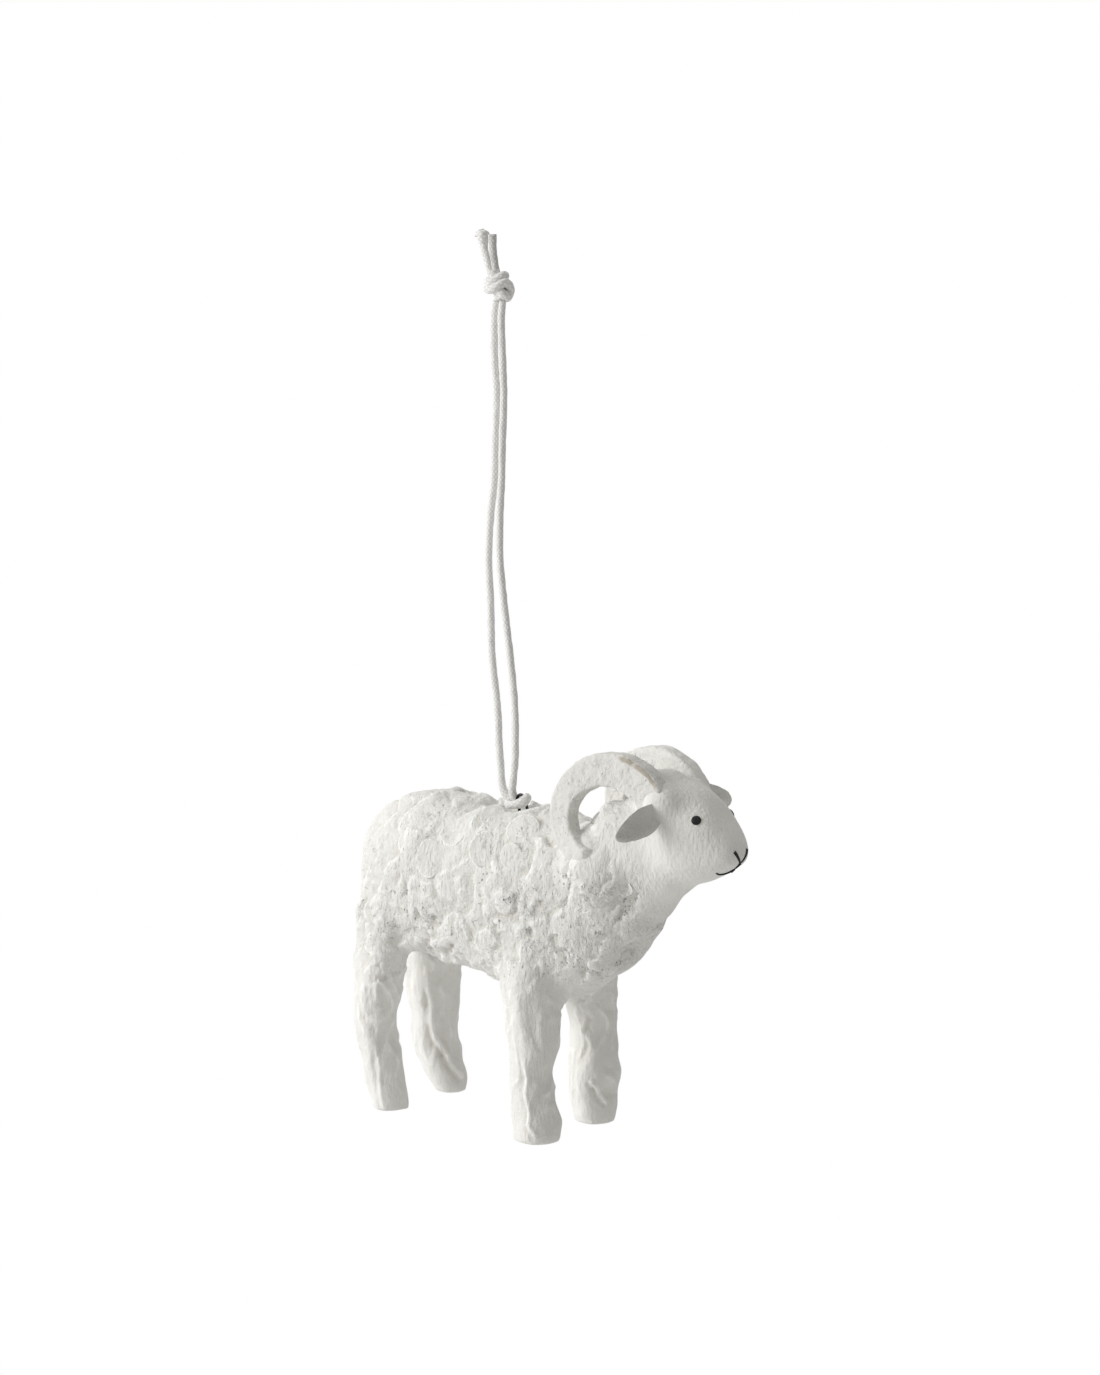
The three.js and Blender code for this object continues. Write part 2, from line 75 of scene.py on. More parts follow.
view_back = Vector((math.sin(VIEW_AZIMUTH) * math.cos(VIEW_ELEVATION),
                    -math.cos(VIEW_AZIMUTH) * math.cos(VIEW_ELEVATION),
                    math.sin(VIEW_ELEVATION)))
view_right = Vector((math.cos(VIEW_AZIMUTH), math.sin(VIEW_AZIMUTH), 0))
view_up = view_back.cross(view_right)
view_from = VIEW_TARGET + view_back * VIEW_DISTANCE


def make_camera():
    data = bpy.data.cameras.new("camera")
    data.sensor_width = SENSOR
    data.lens = SENSOR * FOCAL_PIXELS / PICTURE_TALL
    data.clip_start = CLIP_START
    camera = bpy.data.objects.new("camera", data)
    bpy.context.collection.objects.link(camera)
    camera.location = view_from * MM
    camera.rotation_euler = (-view_back).to_track_quat("-Z", "Y").to_euler()
    bpy.context.scene.camera = camera


make_camera()


# The line of sight through a pixel of the picture
def sight(px, py):
    across = px - PICTURE_WIDE / 2
    down = py - PICTURE_TALL / 2
    return -view_back * FOCAL_PIXELS + view_right * across - view_up * down


# The place at a pixel, so far nearer to the camera than a place that is known
def sighted(px, py, near, known):
    depth = (view_from - Vector(known)).dot(view_back) - near
    return view_from + sight(px, py) * (depth / FOCAL_PIXELS)


# Shader values that can be written as sums
class Value:
    def __init__(self, finish, socket):
        self.finish = finish
        self.socket = socket

    def maths(self, operation, *others):
        return self.finish.node("Math", {"operation": operation}, dict(enumerate((self, *others))))

    def __add__(self, other):
        return self.maths("ADD", other)

    def __mul__(self, other):
        return self.maths("MULTIPLY", other)

    def __sub__(self, other):
        return self.maths("SUBTRACT", other)

    def __rsub__(self, other):
        return self.finish.node("Math", {"operation": "SUBTRACT"}, {0: other, 1: self})

    def __gt__(self, other):
        return self.maths("GREATER_THAN", other)

    def between(self, low, high):
        settings = {"interpolation_type": "SMOOTHSTEP"}
        return self.finish.node("MapRange", settings, {"Value": self, "From Min": low, "From Max": high})


# A material whose shader is fed by nodes
class Finish:
    def __init__(self, name, **fixed):
        self.material = bpy.data.materials.new(name)
        self.material.use_nodes = True
        self.tree = self.material.node_tree
        self.shader = self.tree.nodes["Principled BSDF"]
        for socket, value in fixed.items():
            self.shader.inputs[socket.replace("_", " ")].default_value = value

    def node(self, kind, settings=None, inputs=None, output=0):
        made = self.tree.nodes.new("ShaderNode" + kind)
        for key, value in (settings or {}).items():
            setattr(made, key, value)
        for key, value in (inputs or {}).items():
            self.feed(made.inputs[key], value)
        return Value(self, made.outputs[output])

    def feed(self, socket, value):
        if isinstance(value, Value):
            self.tree.links.new(value.socket, socket)
        else:
            socket.default_value = value

    def colour(self, factor, first, second):
        blend = {"Factor": factor, 6: first, 7: second}
        return self.node("Mix", {"data_type": "RGBA"}, blend, 2)

    def place(self, scale=(1, 1, 1)):
        spot = self.node("TexCoord", output=3)
        return self.node("Mapping", {"vector_type": "POINT"}, {"Vector": spot, "Scale": scale})

    def clouds(self, scale, detail=2.0, stretch=(1, 1, 1), rough=0.5):
        sockets = {"Vector": self.place(stretch), "Scale": scale, "Detail": detail, "Roughness": rough}
        return self.node("TexNoise", None, sockets)

    # Round spots in a share of a pattern's cells
    def pits(self, scale, above, reach):
        cells = self.node("TexVoronoi", None, {"Vector": self.place(), "Scale": scale})
        pick = self.node("TexVoronoi", None, {"Vector": self.place(), "Scale": scale}, 1)
        chosen = self.node("SeparateColor", None, {"Color": pick}) > above
        return (1 - cells.between(reach * 0.4, reach)) * chosen

    def attribute(self, name):
        return self.node("Attribute", {"attribute_name": name}, None, 2)

    def bump(self, height, distance, strength=1.0, onto=None):
        sockets = {"Height": height, "Distance": distance, "Strength": strength}
        if onto is not None:
            sockets["Normal"] = onto
        return self.node("Bump", None, sockets)

    def show(self, **links):
        for socket, value in links.items():
            self.feed(self.shader.inputs[socket.replace("_", " ")], value)
        return self.material


WHITE = (0.835, 0.828, 0.797, 1)
CREAM_AND_SHADE = (0.73, 0.71, 0.635, 1)
CHALK = (0.77, 0.762, 0.735, 1)
PAINTED_HIGHLIGHT = (0.95, 0.95, 0.925, 1)
PAINTED_SHADE_GREY = (0.60, 0.59, 0.555, 1)
PIT_SHADE_GREY = (0.30, 0.29, 0.27, 1)
WORN_BROWN = (0.42, 0.37, 0.29, 1)
INK = (0.005, 0.005, 0.005, 1)
THIN_INK = (0.022, 0.022, 0.021, 1)
WIRE_BLACK = (0.018, 0.017, 0.016, 1)
WIRE_WORN = (0.09, 0.085, 0.08, 1)
STEEL = (0.42, 0.42, 0.42, 1)
STEEL_BRIGHT = (0.58, 0.58, 0.57, 1)
NEWSPRINT = (0.46, 0.44, 0.38, 1)
PRINT_GREY = (0.3, 0.29, 0.27, 1)
CORD_PALE = (0.92, 0.915, 0.90, 1)
CORD_GREY = (0.66, 0.65, 0.635, 1)
SHADED_TAIL_PALE = (0.70, 0.695, 0.68, 1)
SHADED_TAIL_GREY = (0.46, 0.45, 0.44, 1)


# Chalky white paint over paper pulp with brush strokes and grit; its colour holds painted light: cream in the
# recesses that is partly painted shade, painted highlights on crests, and painted shade as grey in the
# fleece's pits, grit patches and marked places
def painted_pulp(name, brush, tone=1.0, brown=None):
    f = Finish(name, Roughness=0.85, Specular_IOR_Level=0.25)
    white, chalk = [tuple(c * tone for c in colour[:3]) + (1,) for colour in (WHITE, CHALK)]
    woolly = f.attribute("woolly")
    paint = f.colour(f.clouds(90, 3).between(0.35, 0.7) * 0.45, white, chalk)
    # Recesses are painted darker cream: partly the pulp's own cream, partly painted shade
    paint = f.colour(f.attribute("recess").between(0.1, 1.0) * 0.45, paint, CREAM_AND_SHADE)
    # Crests are lightened as a painted highlight
    paint = f.colour(f.attribute("crest").between(0.1, 0.9), paint, PAINTED_HIGHLIGHT)
    # Painted shade: grey where the ear and the horn shade the head and in the ears' hollows
    paint = f.colour(f.attribute("painted_shade") * 0.8, paint, PAINTED_SHADE_GREY)
    # The grey in the fleece's pits is painted shade
    hole = f.pits(650, 0.7, 0.26).maths("MAXIMUM", f.pits(1150, 0.6, 0.28))
    hole = hole * f.clouds(130, 2).between(0.47, 0.6) * woolly
    paint = f.colour(hole * 0.75, paint, PIT_SHADE_GREY)
    # Grey patches of grit: their grey is painted shade, and the bump gives their roughness
    grit_shade = f.clouds(430, 4, rough=0.7).between(0.52, 0.7) * f.clouds(95, 2).between(0.48, 0.62) * woolly
    paint = f.colour(grit_shade * 0.3, paint, PIT_SHADE_GREY)
    if brown:
        worn = f.attribute("rim").between(0.2, 0.9) * f.clouds(500, 3).between(0.25, 0.55)
        paint = f.colour(worn * 0.8, paint, brown)
    crumbs = f.clouds(520, 5, rough=0.65) * (woolly * 0.8 + 0.2)
    grit = f.clouds(2100, 3, rough=0.6) * (woolly * 0.6 + 0.4)
    strokes = f.clouds(1300, 3, brush)
    relief = f.bump(crumbs, 0.0012, 0.9)
    relief = f.bump(grit, 0.00034, 0.8, relief)
    relief = f.bump(strokes, 0.00034, 1.0, relief)
    relief = f.bump(1 - hole, 0.0004, 0.8, relief)
    relief = f.bump(1 - grit_shade, 0.0006, 0.7, relief)
    return f.show(Base_Color=paint, Normal=relief)


def black_paint():
    f = Finish("black paint", Roughness=0.5, Specular_IOR_Level=0.2)
    ink = f.colour(f.clouds(1500, 2).between(0.45, 0.75), INK, THIN_INK)
    return f.show(Base_Color=ink, Normal=f.bump(f.clouds(2500, 2), 0.00008, 0.6))


def dark_wire():
    f = Finish("dark wire", Metallic=1.0, Specular_IOR_Level=0.5)
    worn = f.clouds(1400, 3).between(0.5, 0.8)
    skin = f.colour(worn, WIRE_BLACK, WIRE_WORN)
    rough = 0.62 - worn * 0.2
    return f.show(Base_Color=skin, Roughness=rough, Normal=f.bump(f.clouds(3000, 2), 0.00005, 0.6))


def steel_wire():
    f = Finish("armature wire", Metallic=1.0)
    drawn = f.clouds(800, 3, (0.2, 1, 1))
    tone = f.colour(drawn, STEEL, STEEL_BRIGHT)
    return f.show(Base_Color=tone, Roughness=drawn * 0.3 + 0.25)


def wadded_paper():
    f = Finish("wadded newspaper", Roughness=0.95)
    printed = f.clouds(600, 4, (1, 0.4, 1)).between(0.4, 0.7)
    tone = f.colour(printed, NEWSPRINT, PRINT_GREY)
    return f.show(Base_Color=tone, Normal=f.bump(f.clouds(200, 4), 0.001, 0.8))


# Knitted cotton: the mesh's slants follow the piece's own UV map, metres along and turns around
def cotton(name, pale, grey):
    f = Finish(name, Roughness=0.95, Sheen_Weight=0.25, Sheen_Roughness=0.5)
    uv = f.node("UVMap", {"uv_map": "wind"})
    along = f.node("SeparateXYZ", None, {"Vector": uv}) * 760
    around = f.node("SeparateXYZ", None, {"Vector": uv}, 1) * 6
    fluff = f.clouds(2600, 4, rough=0.7)
    left = ((along + around + fluff * 0.5).maths("FRACT") - 0.5).maths("ABSOLUTE") * 2
    right = ((along - around + fluff * 0.5).maths("FRACT") - 0.5).maths("ABSOLUTE") * 2
    mesh = left.maths("MAXIMUM", right)
    shade = (mesh * 0.6 + fluff * 0.5).between(0.45, 1.0)
    tone = f.colour(shade, pale, grey)
    return f.show(Base_Color=tone, Normal=f.bump(fluff * 0.9 - mesh * 0.7, 0.00014, 0.9))


FLEECE_PAINT = painted_pulp("painted fleece", (1, 1, 0.35))
HORN_BRUSH = (0.4, 1, 0.4)
HORN_PAINT = painted_pulp("painted horn", HORN_BRUSH, 0.93, WORN_BROWN)
# The left horn's paint is lighter as painted light, for the far horn's lit face
LIT_HORN_PAINT = painted_pulp("whiter painted horn", HORN_BRUSH, 1.03, WORN_BROWN)
EAR_PAINT = painted_pulp("painted ear", (1, 0.4, 1), 0.95)
BLACK = black_paint()
EYE_WIRE = dark_wire()
ARMATURE = steel_wire()
NEWSPAPER = wadded_paper()
CORD_COTTON = cotton("cotton cord", CORD_PALE, CORD_GREY)
# The cut tail's cotton is a darker copy of the cord's, as painted shade
SHADED_TAIL_COTTON = cotton("cut cotton tail", SHADED_TAIL_PALE, SHADED_TAIL_GREY)


# Shared modelling steps
def finished(piece, name, material):
    piece.name = name
    piece.data.name = name
    piece.data.materials.clear()
    piece.data.materials.append(material)
    piece.data.polygons.foreach_set("use_smooth", [True] * len(piece.data.polygons))
    return piece


def worked(piece, kind, **settings):
    modifier = piece.modifiers.new(kind, kind)
    for key, value in settings.items():
        setattr(modifier, key, value)
    bpy.context.view_layer.objects.active = piece
    bpy.ops.object.modifier_apply(modifier=modifier.name)


def joined(pieces):
    bpy.ops.object.select_all(action="DESELECT")
    for piece in pieces:
        piece.select_set(True)
    bpy.context.view_layer.objects.active = pieces[0]
    bpy.ops.object.join()
    return bpy.context.object


def ball(around, along):
    bpy.ops.object.select_all(action="DESELECT")
    bpy.ops.mesh.primitive_uv_sphere_add(segments=around, ring_count=along, radius=1)
    return bpy.context.object


def new_piece(name, corners, faces):
    mesh = bpy.data.meshes.new(name)
    mesh.from_pydata([tuple(c) for c in corners], [], faces)
    piece = bpy.data.objects.new(name, mesh)
    bpy.context.collection.objects.link(piece)
    return piece


# The places of a piece's vertices, or their normals
def places_of(piece, key="co"):
    at = np.empty(len(piece.data.vertices) * 3)
    piece.data.vertices.foreach_get(key, at)
    return at.reshape(-1, 3)


def put_places(piece, at):
    piece.data.vertices.foreach_set("co", np.ascontiguousarray(at, float).ravel())
    piece.data.update()


def ram_places(piece):
    return places_of(piece) / MM - RAM_AT


def put_ram_places(piece, at):
    put_places(piece, (at + RAM_AT) * MM)


def mark(piece, name, values):
    layer = piece.data.attributes.new(name, "FLOAT", "POINT")
    layer.data.foreach_set("value", np.ascontiguousarray(values, np.float32))


def surface_tree(piece, places):
    return BVHTree.FromPolygons([Vector(p) for p in places], [p.vertices for p in piece.data.polygons])


# From 0 at a low value to 1 at a high one, softly
def ramp(low, high, values):
    t = np.clip((values - low) / (high - low), 0, 1)
    return t * t * (3 - 2 * t)


# A smooth line through stations of (place, value), as the solids have
def line_through(*stations):
    places = np.array([s[0] for s in stations], float)
    values = np.array([s[1] for s in stations], float)
    before = np.maximum(np.arange(len(places)) - 1, 0)
    after = np.minimum(np.arange(len(places)) + 1, len(places) - 1)
    slopes = (values[after] - values[before]) / (places[after] - places[before])

    def at(place):
        i = np.clip(np.searchsorted(places, place, side="left") - 1, 0, len(places) - 2)
        span = places[i + 1] - places[i]
        t = np.clip((place - places[i]) / span, 0, 1)
        rise = (values[i + 1] - values[i]) * t * t * (3 - 2 * t)
        leave = t * (1 - t) ** 2 * slopes[i] * span
        arrive = t * t * (t - 1) * slopes[i + 1] * span
        return values[i] + rise + leave + arrive

    return at


# A ball whose rings are laid out along a length by a rule of share, turn, fullness and height on the ball
def rolled(around, along, rule):
    form = ball(around, along)
    x, y, z = places_of(form).T
    polar = np.arccos(np.clip(z, -1, 1)) / math.pi
    cap = 2 / along
    share = np.clip((polar - cap) / (1 - 2 * cap), 0, 1)
    full = np.minimum(1, np.minimum(polar, 1 - polar) / cap)
    put_ram_places(form, rule(share, np.arctan2(y, x), full, z))
    bpy.ops.object.mode_set(mode="EDIT")
    bpy.ops.mesh.select_all(action="SELECT")
    bpy.ops.mesh.normals_make_consistent(inside=False)
    bpy.ops.object.mode_set(mode="OBJECT")
    return form


# Main forms of the ram, of the solids' sizes
def rounded(middle, length, roundness, square, top, bottom, half):
    def rule(_share, turn, _full, along):
        fullness = np.maximum(1 - np.abs(along) ** roundness, 1e-9) ** (1 / roundness)
        wide = half(along) * fullness
        tall = (top(along) - bottom(along)) / 2 * fullness
        across = np.abs(np.cos(turn) / wide) ** square
        upright = np.abs(np.sin(turn) / tall) ** square
        reach = (across + upright) ** (-1 / square)
        centre = (top(along) + bottom(along)) / 2
        x = middle + length / 2 * along
        return np.stack((x, reach * np.cos(turn), centre + reach * np.sin(turn)), 1)

    return rule


torso_rule = rounded(
    middle=6, length=90, roundness=3.2, square=2.4,
    top=line_through((-1, 78), (-0.55, 80.4), (0.11, 78.4), (0.32, 78.6), (1, 73)),
    bottom=line_through((-1, 38), (-0.26, 37), (0.13, 34.5), (0.42, 32), (1, 42)),
    half=line_through((-1, 14), (0, 14.2), (0.45, 15), (1, 12)))
head_rule = rounded(
    middle=61.5, length=29, roundness=2.5, square=2.2,
    top=line_through((-1, 84.5), (-0.2, 88.5), (0.35, 85.5), (1, 77.5)),
    bottom=line_through((-1, 69), (-0.1, 64.5), (0.5, 66.1), (1, 67.5)),
    half=line_through((-1, 9), (-0.1, 10), (0.5, 8.5), (1, 8)))

# Neck: where it runs from and to, and its height and width there
NECK_START = np.array((33, 0, 60.0))
NECK_END = np.array((61, 0, 76.0))
NECK_TALL = (32, 20)
NECK_WIDE = (24, 17)


def neck_rule(share, turn, full, _along):
    run = NECK_END - NECK_START
    ahead = run / np.linalg.norm(run)
    upright = np.array((-ahead[2], 0, ahead[0]))
    tall = (NECK_TALL[0] + (NECK_TALL[1] - NECK_TALL[0]) * share) / 2 * full
    wide = (NECK_WIDE[0] + (NECK_WIDE[1] - NECK_WIDE[0]) * share) / 2 * full
    spot = NECK_START + np.outer(share, run) + np.outer(np.cos(turn) * tall, upright)
    spot[:, 1] = np.sin(turn) * wide
    return spot


# How far a square with soft corners reaches at a turn, where its sides are 1 from the middle
def soft_square(turn, square):
    return (np.abs(np.cos(turn)) ** square + np.abs(np.sin(turn)) ** square) ** (-1 / square)


# Legs are four-sided columns with soft corners, one corner turned to the light side of the picture.
# Each has its foot's place and, up its height, how far its middle leans from that and how wide it looks.
LEG_ROOT = 51
LEG_ROOT_DEEP = 10
LEG_UPRIGHT = 0.4
LEG_CLOSE = 0.75
LEG_SQUARE = 3.0
LEG_CORNER = math.radians(-26)
LEG_SEEN = 1.09
SOLE_SPARE = 1.0
LEGS = {
    "front_leg_right": (24.7, -11.3, [
        (0, 0, 11.4), (4, 0, 11.8), (8, -0.7, 11.0), (12, -1.1, 10.6), (16, -1.6, 10.5), (20, -1.0, 11.4),
        (24, -1.3, 12.2), (30, -1.8, 13.0), (37, -2.6, 15.5), (51, -2.5, 17)]),
    "front_leg_left": (25.1, 11.3, [
        (0, -0.4, 9.6), (4, -0.9, 11.2), (8, -1.0, 12.2), (12, -0.6, 12.6), (16, -0.7, 12.4),
        (20, -0.9, 11.6), (24, -1.1, 11.2), (34, -0.9, 13), (51, -2.5, 17)]),
    "rear_leg_right": (-22.6, -11.3, [
        (0, 0, 9.0), (4.5, -1.3, 10.0), (8.5, -2.4, 10.0), (12.5, -3.3, 10.4), (16.5, -4.4, 10.4),
        (20.5, -5.2, 10.6), (24.5, -5.2, 11.1), (30, -4.9, 12.4), (51, -3.5, 18)]),
    "rear_leg_left": (-22.2, 11.3, [
        (0, 0, 7.6), (2, -1.0, 9.6), (4, -2.2, 10.9), (8, -3.8, 11.7), (12, -5.2, 12.2), (16, -5.8, 12.3),
        (20, -5.8, 12.7), (26, -6.0, 14), (51, -3.5, 18)]),
}


def leg_rule(foot, stand, stations):
    lean = line_through(*[(z, shift) for z, shift, _wide in stations])
    wide = line_through(*[(z, width) for z, _shift, width in stations])
    deep = line_through(*[(z, width) for z, _shift, width in stations[:-1]], (LEG_ROOT, LEG_ROOT_DEEP))
    splay = line_through((0, stand), (LEG_ROOT * LEG_UPRIGHT, stand), (LEG_ROOT, stand * LEG_CLOSE))

    def rule(share, turn, full, _along):
        z = LEG_ROOT - (LEG_ROOT + SOLE_SPARE) * share
        height = np.maximum(z, 0)
        reach = soft_square(turn - LEG_CORNER, LEG_SQUARE) * full / 2 / LEG_SEEN
        x = foot + lean(height) + np.cos(turn) * reach * wide(height)
        y = splay(height) + np.sin(turn) * reach * deep(height)
        return np.stack((x, y, z), 1)

    return rule


# Rounded swellings of wool and pulp
def egg(centre, radii):
    def rule(_share, turn, _full, along):
        wide = np.sqrt(np.maximum(1 - along * along, 0))
        way = np.stack((np.cos(turn) * wide, np.sin(turn) * wide, along), 1)
        return np.array(centre) + way * np.array(radii)

    return rule


# Crown between the horns, nape, the neck behind the cheeks and the ears' roots: centre and radii
SWELLS = [((53.5, 0, 84), (7.5, 7, 7)), ((44, 0, 73.5), (10, 9, 7.5)), ((50, 0, 70.5), (10, 10.8, 10.5)),
          ((46.5, -4.6, 75.5), (9.5, 6.6, 7.5)), ((46.5, 4.6, 75.5), (9.5, 6.6, 7.5)),
          ((58.6, -8.0, 83.4), (4.6, 3.4, 4.2)), ((58.2, 7.4, 83.0), (4.0, 3.0, 3.6))]

# Wool on each side under the horn's end
RUFF_X = 40.5
RUFF_Y = 6.8
RUFF_Z = 66.5
RUFF_RADII = (10.5, 8.3, 9.5)

# Swelling along the horn's root: the ring it follows, from which angle over how many degrees, and its size
ROOT_X = 45.4
ROOT_Z = 80.7
ROOT_REACH = 12.2
ROOT_RISE = 10.7
ROOT_FROM = 34
ROOT_SWEEP = 62
ROOT_Y = 6.6
ROOT_CLOSE = 0.6
ROOT_WIDE = 4.2
ROOT_THICK = 3.0
ROOT_TAPER = 0.35


def horn_root(side):
    def rule(share, turn, full, _along):
        angle = np.radians(ROOT_FROM - ROOT_SWEEP * share)
        size = (1 - ROOT_TAPER * share) * full
        out = np.cos(turn) * ROOT_WIDE * size
        x = ROOT_X + (ROOT_REACH + out) * np.cos(angle)
        z = ROOT_Z + (ROOT_RISE + out) * np.sin(angle)
        y = side * (ROOT_Y - ROOT_CLOSE * share) + np.sin(turn) * ROOT_THICK * size
        return np.stack((x, y, z), 1)

    return rule


# How finely the melted forms and the skin are meshed, how often each is smoothed, and what is given back
FORM_VOXEL = 0.9 * MM
FORM_SMOOTHING = 22
SKIN_VOXEL = 0.53 * MM
SKIN_SMOOTHING = 4
SMOOTHED_OFF = 0.35 * MM


def base_skin():
    forms = [rolled(72, 60, torso_rule), rolled(48, 40, head_rule), rolled(48, 24, neck_rule)]
    forms += [rolled(40, 40, leg_rule(*leg)) for leg in LEGS.values()]
    forms += [rolled(32, 24, egg(*swell)) for swell in SWELLS]
    for side in (-1, 1):
        ruff = egg((RUFF_X, side * RUFF_Y, RUFF_Z), RUFF_RADII)
        forms += [rolled(32, 24, ruff), rolled(32, 24, horn_root(side))]
    skin = joined(forms)
    worked(skin, "REMESH", mode="VOXEL", voxel_size=FORM_VOXEL)
    worked(skin, "SMOOTH", factor=0.5, iterations=FORM_SMOOTHING)
    worked(skin, "DISPLACE", strength=SMOOTHED_OFF, mid_level=0)
    worked(skin, "REMESH", mode="VOXEL", voxel_size=SKIN_VOXEL)
    worked(skin, "SMOOTH", factor=0.5, iterations=SKIN_SMOOTHING)
    return skin


# Where a pixel of the picture falls on a surface, or the nearest of it to the line of sight
SEARCHED = np.linspace(0.7, 1.3, 241)


def spot_at(tree, start, px, py):
    ray = sight(px, py).normalized()
    spot, facing, _face, _far = tree.ray_cast(start, ray)
    if spot is None:
        reach = start.length
        tries = [tree.find_nearest(start + ray * reach * share) for share in SEARCHED]
        spot, facing, _face, _far = min(tries, key=lambda hit: hit[3])
    return spot, facing


# A lobe of pulp that stands proud at its rear edge and sinks under the next one in front, along the skin
LOBE_SIZE = 8.8
CRUMB_SIZE = 4.1


def lobe(place, size, out):
    gaps, middles = noise.voronoi(place / size)
    turn = 0.9 * noise.noise(middles[0] * 3.7) - 0.3
    lay = Vector((math.cos(turn), 0, math.sin(turn)))
    lay -= out * out.dot(lay)
    strength = 0.35 + 1.2 * min(1, max(0, 0.5 + 1.1 * noise.noise(middles[0] * 7.3)))
    return strength * (0.6 * max(0, 1 - (gaps[0] / 0.8) ** 2) - 0.9 * lay.dot(place / size - middles[0]))


# How far facings have to agree, the least weight that counts, how deep a fold's groove is for its ridge, over
# how many steps crests and recesses are told from the heights round them, and the height of a full one
SAME_FACING = 0.1
LEAST_WEIGHT = 0.02
FOLD_GROOVE = 0.7
MEAN_STEPS = 10
FULL_CREST = 0.3

# How much further forward the left side's curls and lumps sit, and from what a left curl's opening is counted
TWIN_SHIFT = 2.5
TWIN_OPENING = 150


